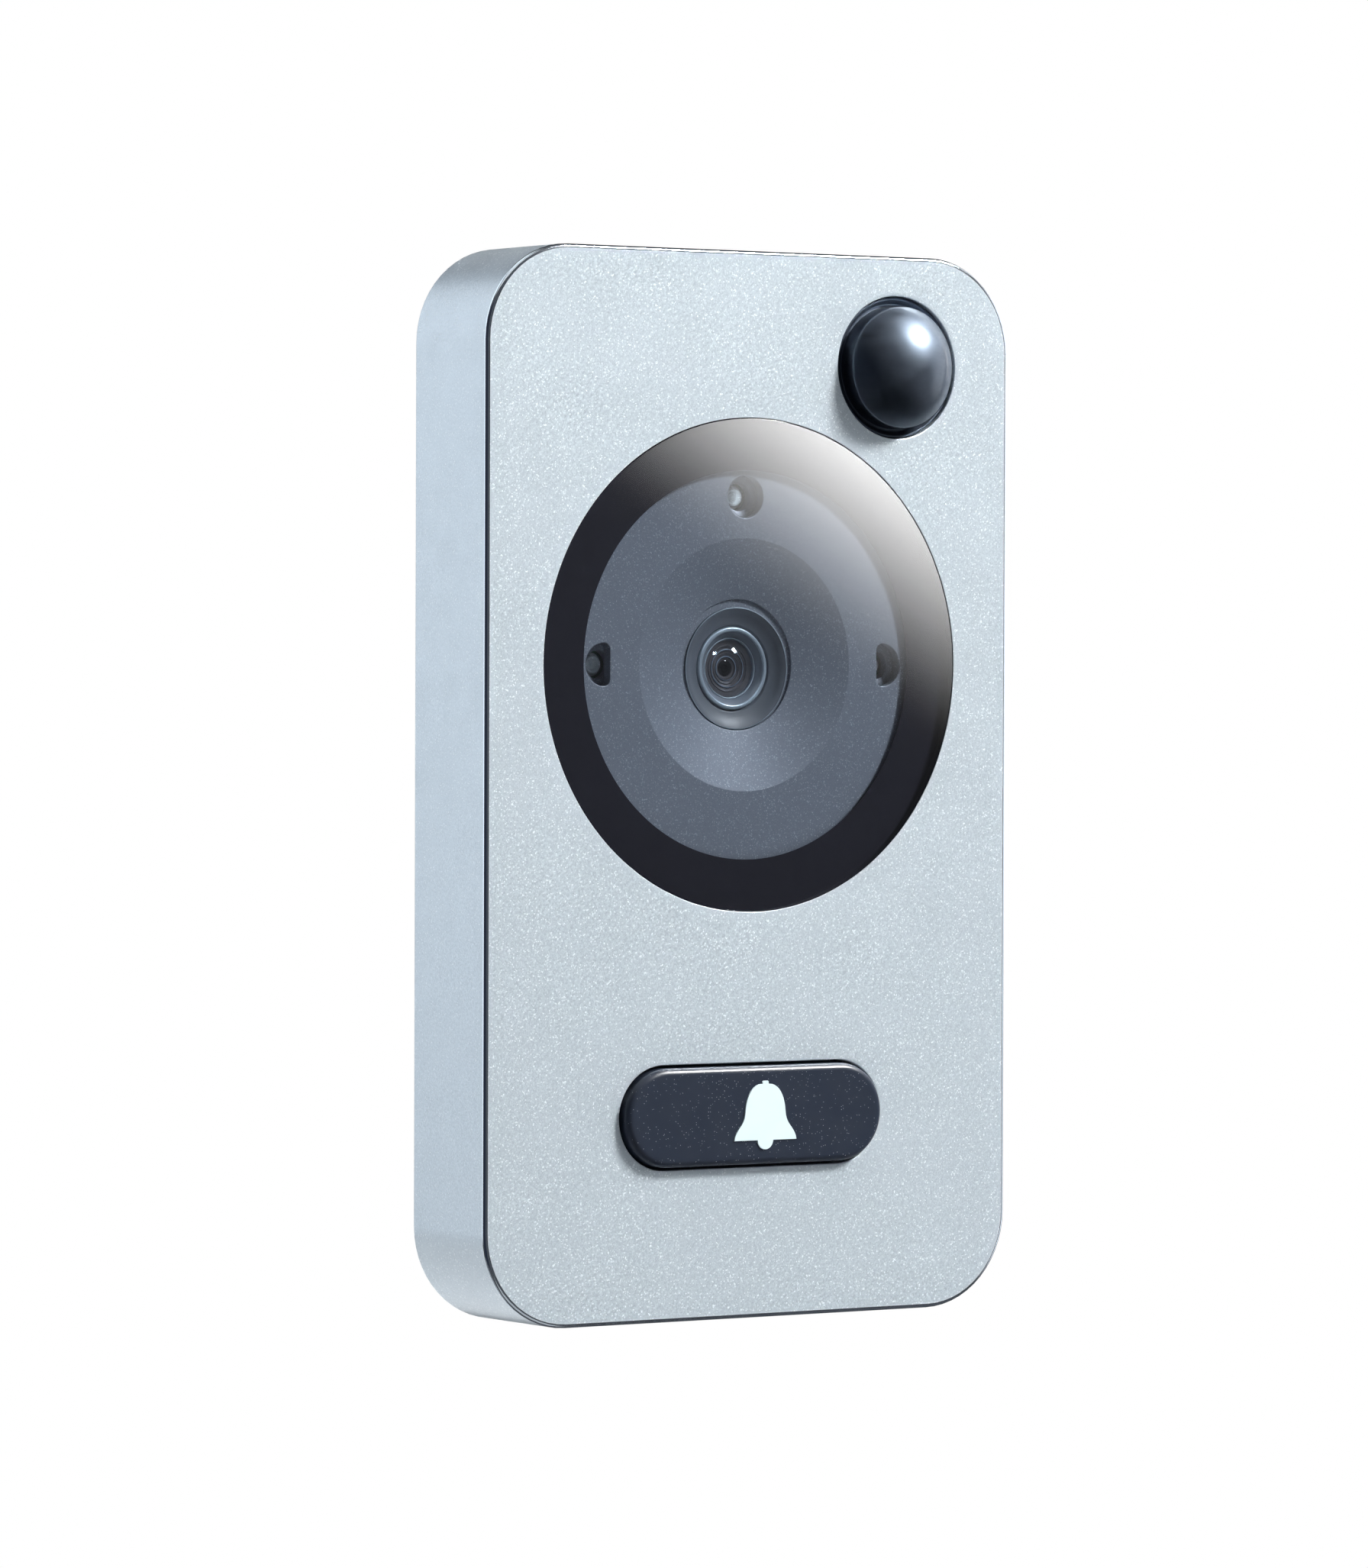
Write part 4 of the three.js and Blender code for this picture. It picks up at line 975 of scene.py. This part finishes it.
def bell():
    """A white bell printed on the button: flared lip, round crown, knob and clapper."""
    x, z, half_width, half_height, front, _ = cad("bell_icon")
    clapper, knob = 1.05, 0.42
    lip = z - half_height + clapper
    crown = z + half_height - 0.35
    height = crown - lip
    waist = 0.65 * half_width
    flare = [(half_width - 0.05, 0.4), (0.88 * half_width, 1.6), (waist + 0.12, 1.7), (waist, 3.2)]
    dome = [(waist, 3.2), (waist - 0.12, 0.78 * height), (1.9, height - 0.03), (knob + 0.05, height)]
    side = [(half_width, 0), (half_width - 0.03, 0.3), *bezier(flare), *bezier(dome),
            (knob, height), (knob, height + 0.25), (0.7 * knob, height + 0.35)]
    right = [(x + px, lip + pz) for px, pz in side]
    left = [(x - px, lip + pz) for px, pz in reversed(side)]
    bottom = arc(x, lip, clapper, 180, 360, 16)
    outline = polygon(right + left + bottom)
    top, back = front + 0.02, BUTTON_TOP + 0.02
    shape = Shape()
    shape.cap(outline(0.05), top)
    shape.loft(outline, [(0.05, top), (0.015, top + 0.015), (0, top + 0.05), (0, back)])
    shape.cap(outline(0), back)
    shape.build("bell_print", WHITE_INK, ["bell_icon"], body="button")


def button_spring(side):
    """A return spring with closed end coils."""
    node = f"button_spring_{side}"
    x, z, radius, _, front, back = cad(node)
    wire = 0.25
    coil = radius - wire
    start, end = front + wire, back - wire
    turns, per_turn, closed = 6, 28, 0.75
    points = []
    for i in range(turns * per_turn + 1):
        t = i / per_turn
        along = min(max((t - closed) / (turns - 2 * closed), 0), 1)
        creep = 0.3 * wire * (min(t, closed) + max(0, t - turns + closed)) / closed
        depth = start + creep + (end - start - 0.6 * wire) * along
        angle = 2 * math.pi * t
        points.append((x + coil * math.cos(angle), depth, z + coil * math.sin(angle)))
    shape = Shape()
    shape.tube(points, wire)
    piece = shape.build(f"{node}_coil", STEEL, [node])
    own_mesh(piece)


shell = front_cover()
rear_cover()
mounting_pad()
grommet()
for node in [f"cover_screw_{i}" for i in (1, 2, 3, 4)] + [f"board_screw_{i}" for i in (1, 2, 3)]:
    screw(node)
for index in (1, 2):
    door_insert(f"door_insert_{index}")
window_glass = window()
camera_bezel()
optics = lens()
lamps = {side: infrared_led(side, x, z) for side, (x, z) in LED_PLACES.items()}
dome = pir_dome()
button_cap = button()
bell()
for side in ("left", "right"):
    button_spring(side)

# ---------------- camera

YAW, PITCH, ROLL = (math.radians(angle) for angle in (33.537, -0.991, 0.193))
TARGET = Vector((-9.176, FACE, 0.178)) * MM
DISTANCE = 0.8018
FOCAL = 164.757

forward = Vector((math.sin(YAW) * math.cos(PITCH), math.cos(YAW) * math.cos(PITCH), math.sin(PITCH)))
level_right = Vector((math.cos(YAW), -math.sin(YAW), 0))
level_up = level_right.cross(forward)
right = math.cos(ROLL) * level_right + math.sin(ROLL) * level_up
up = -math.sin(ROLL) * level_right + math.cos(ROLL) * level_up
lens_data = bpy.data.cameras.new("camera")
lens_data.lens = FOCAL
lens_data.sensor_width = 36
lens_data.clip_start = 0.01
lens_data.clip_end = 20
camera = bpy.data.objects.new("camera", lens_data)
camera.matrix_world = Matrix((right, up, -forward)).transposed().to_4x4()
camera.location = TARGET - forward * DISTANCE
bpy.context.scene.collection.objects.link(camera)
bpy.context.scene.camera = camera

# ---------------- studio


def stage_plane(name, centre, facing, width, height, material, up_hint=(0, 0, 1)):
    """A flat panel of the studio that faces one way."""
    mesh = bpy.data.meshes.new(name)
    w, h = width / 2, height / 2
    mesh.from_pydata([(-w, -h, 0), (w, -h, 0), (w, h, 0), (-w, h, 0)], [], [(0, 1, 2, 3)])
    mesh.materials.append(material)
    plane = bpy.data.objects.new(name, mesh)
    normal = Vector(facing).normalized()
    across = Vector(up_hint).cross(normal).normalized()
    above = normal.cross(across)
    plane.matrix_world = Matrix((across, above, normal)).transposed().to_4x4()
    plane.location = centre
    bpy.context.scene.collection.objects.link(plane)
    return plane


def emission(name, colour, strength, soft=0.0):
    """Light from a card, which may fade out towards its edges over a share of its width."""
    n = Nodes(name)
    if soft:
        spread = n.spread()
        for axis in ("X", "Y"):
            ramp = {"Value": n.math("PINGPONG", spread[axis], 0.5), "From Max": soft}
            rise = n.node("MapRange", ramp, interpolation_type="SMOOTHSTEP")
            strength = n.math("MULTIPLY", rise.outputs[0], strength)
    return n.glow(colour, strength)


def light_only(lamp, pieces):
    """Keep a lamp's light to the pieces that it is meant for."""
    lit = bpy.data.collections.new(lamp.name + "_lit")
    for piece in pieces:
        lit.objects.link(piece)
    lamp.light_linking.receiver_collection = lit


def card(name, azimuth, elevation, distance, width, height, colour, strength, soft=0.2, only=()):
    """A soft light panel that faces the object; azimuth 0 is in front of it and 90 at its right."""
    a, e = math.radians(azimuth), math.radians(elevation)
    away = Vector((math.sin(a) * math.cos(e), -math.cos(a) * math.cos(e), math.sin(e)))
    light = emission(name, colour, strength, soft)
    plane = stage_plane(name, away * distance, -away, width, height, light)
    plane.visible_camera = False
    if only:
        light_only(plane, only)
    return plane


card("key_card", 52, 41, 1.6, 0.32, 0.32, (1, 0.998, 0.99), 231, 0.12)
card("top_card", -50, 66, 1.4, 1.7, 1.3, (0.95, 0.975, 1.0), 0.85, 0.25, [shell, button_cap])
card("left_back_card", -140, 22, 1.5, 1.8, 2.4, (0.87, 0.935, 1.0), 1.37)
card("left_low_card", -140, -45, 1.5, 1.8, 1.2, (0.9, 0.95, 1.0), 0.4)
card("left_high_card", -135, 75, 1.5, 1.2, 0.9, (0.93, 0.97, 1.0), 1.35)
card("right_back_card", 118, 20, 1.6, 1.2, 1.6, (1, 1, 1), 3.1)
card("right_card", 78, 0, 1.5, 1.1, 1.6, (0.93, 0.96, 1.0), 1.5, 0.3, [shell, dome])
card("rim_card", 134, 28, 1.5, 1.2, 1.5, (0.96, 0.98, 1.0), 6, 0.15, [dome])
fill = card("low_fill_card", -5, -30, 1.6, 1.0, 1.0, (0.96, 0.98, 1.0), 3.6)
fill.visible_glossy = False
flag = card("dark_flag", -66, 0, 1.0, 1.25, 1.3, (0.55, 0.65, 1.0), 0.045, 0)
flag.visible_diffuse = False
flag.visible_shadow = False
card("glint_card", -28, 44, 1.3, 0.22, 0.22, (0.92, 0.97, 1.0), 70, 0.12, optics[1:])
card("lamp_card", -42, 16, 1.2, 0.18, 0.18, (0.98, 1, 0.98), 170, 0.12, lamps["top"] + lamps["right"])
card("back_low_card", 188, -28, 1.5, 2.2, 1.4, (0.95, 0.98, 1.0), 1.0, 0.25, [shell])
card("under_card", 0, -58, 1.4, 1.8, 1.2, (0.95, 0.98, 1.0), 0.55, only=[shell])

WORLD_GREY = (0.085, 0.09, 0.1)


def window_card():
    """A small panel whose mirror image lies across the window's upper right."""
    mirrored = Vector((camera.location.x, 2 * FACE * MM - camera.location.y, camera.location.z))
    plane_y = FACE * MM - 1.6

    def seen_from(x, z):
        spot = Vector((x, FACE, z)) * MM
        along = (plane_y - mirrored.y) / (spot.y - mirrored.y)
        return mirrored + (spot - mirrored) * along

    lean, nearest, farthest = math.radians(58), 6, 34
    width, peak = 0.24, 18
    up_right = Vector((math.cos(lean), math.sin(lean)))
    low, high = (seen_from(*(Vector((0, WINDOW_Z)) + up_right * reach)) for reach in (nearest, farthest))
    n = Nodes("window_card")
    climb = n.math("MULTIPLY", n.math("POWER", n.spread()["Y"], 2.0), peak)
    light = n.glow((1, 1, 1), n.math("ADD", climb, WORLD_GREY[1]))
    along = high - low
    plane = stage_plane("window_card", (low + high) / 2, (0, 1, 0), width, along.length, light, along)
    plane.visible_camera = False
    return plane


light_only(window_card(), [window_glass])

floor_look = Nodes("pale_floor")
pale = floor_look.mix(floor_look.noise(30, 3), (0.8, 0.81, 0.82), (0.84, 0.85, 0.86))
FLOOR_Z, FLOOR_SIZE = -0.42, 2.2
floor = stage_plane("floor", (0, 0, FLOOR_Z), (0, 0, 1), FLOOR_SIZE, FLOOR_SIZE,
                    floor_look.surface(Base_Color=pale, Roughness=0.6), (0, 1, 0))
floor.visible_glossy = False

backdrop_mesh = bpy.data.meshes.new("backdrop")
sphere = bmesh.new()
bmesh.ops.create_icosphere(sphere, subdivisions=4, radius=4)
sphere.to_mesh(backdrop_mesh)
sphere.free()
backdrop_mesh.materials.append(emission("backdrop", (1, 1, 1), 1.0))
backdrop = bpy.data.objects.new("backdrop", backdrop_mesh)
bpy.context.scene.collection.objects.link(backdrop)
for ray in ("diffuse", "glossy", "transmission", "shadow"):
    setattr(backdrop, f"visible_{ray}", False)

world = bpy.data.worlds.new("studio")
world.use_nodes = True
glow = world.node_tree.nodes["Background"].inputs
glow["Color"].default_value = (*WORLD_GREY, 1)
glow["Strength"].default_value = 1
bpy.context.scene.world = world
bpy.context.scene.view_settings.view_transform = "Standard"
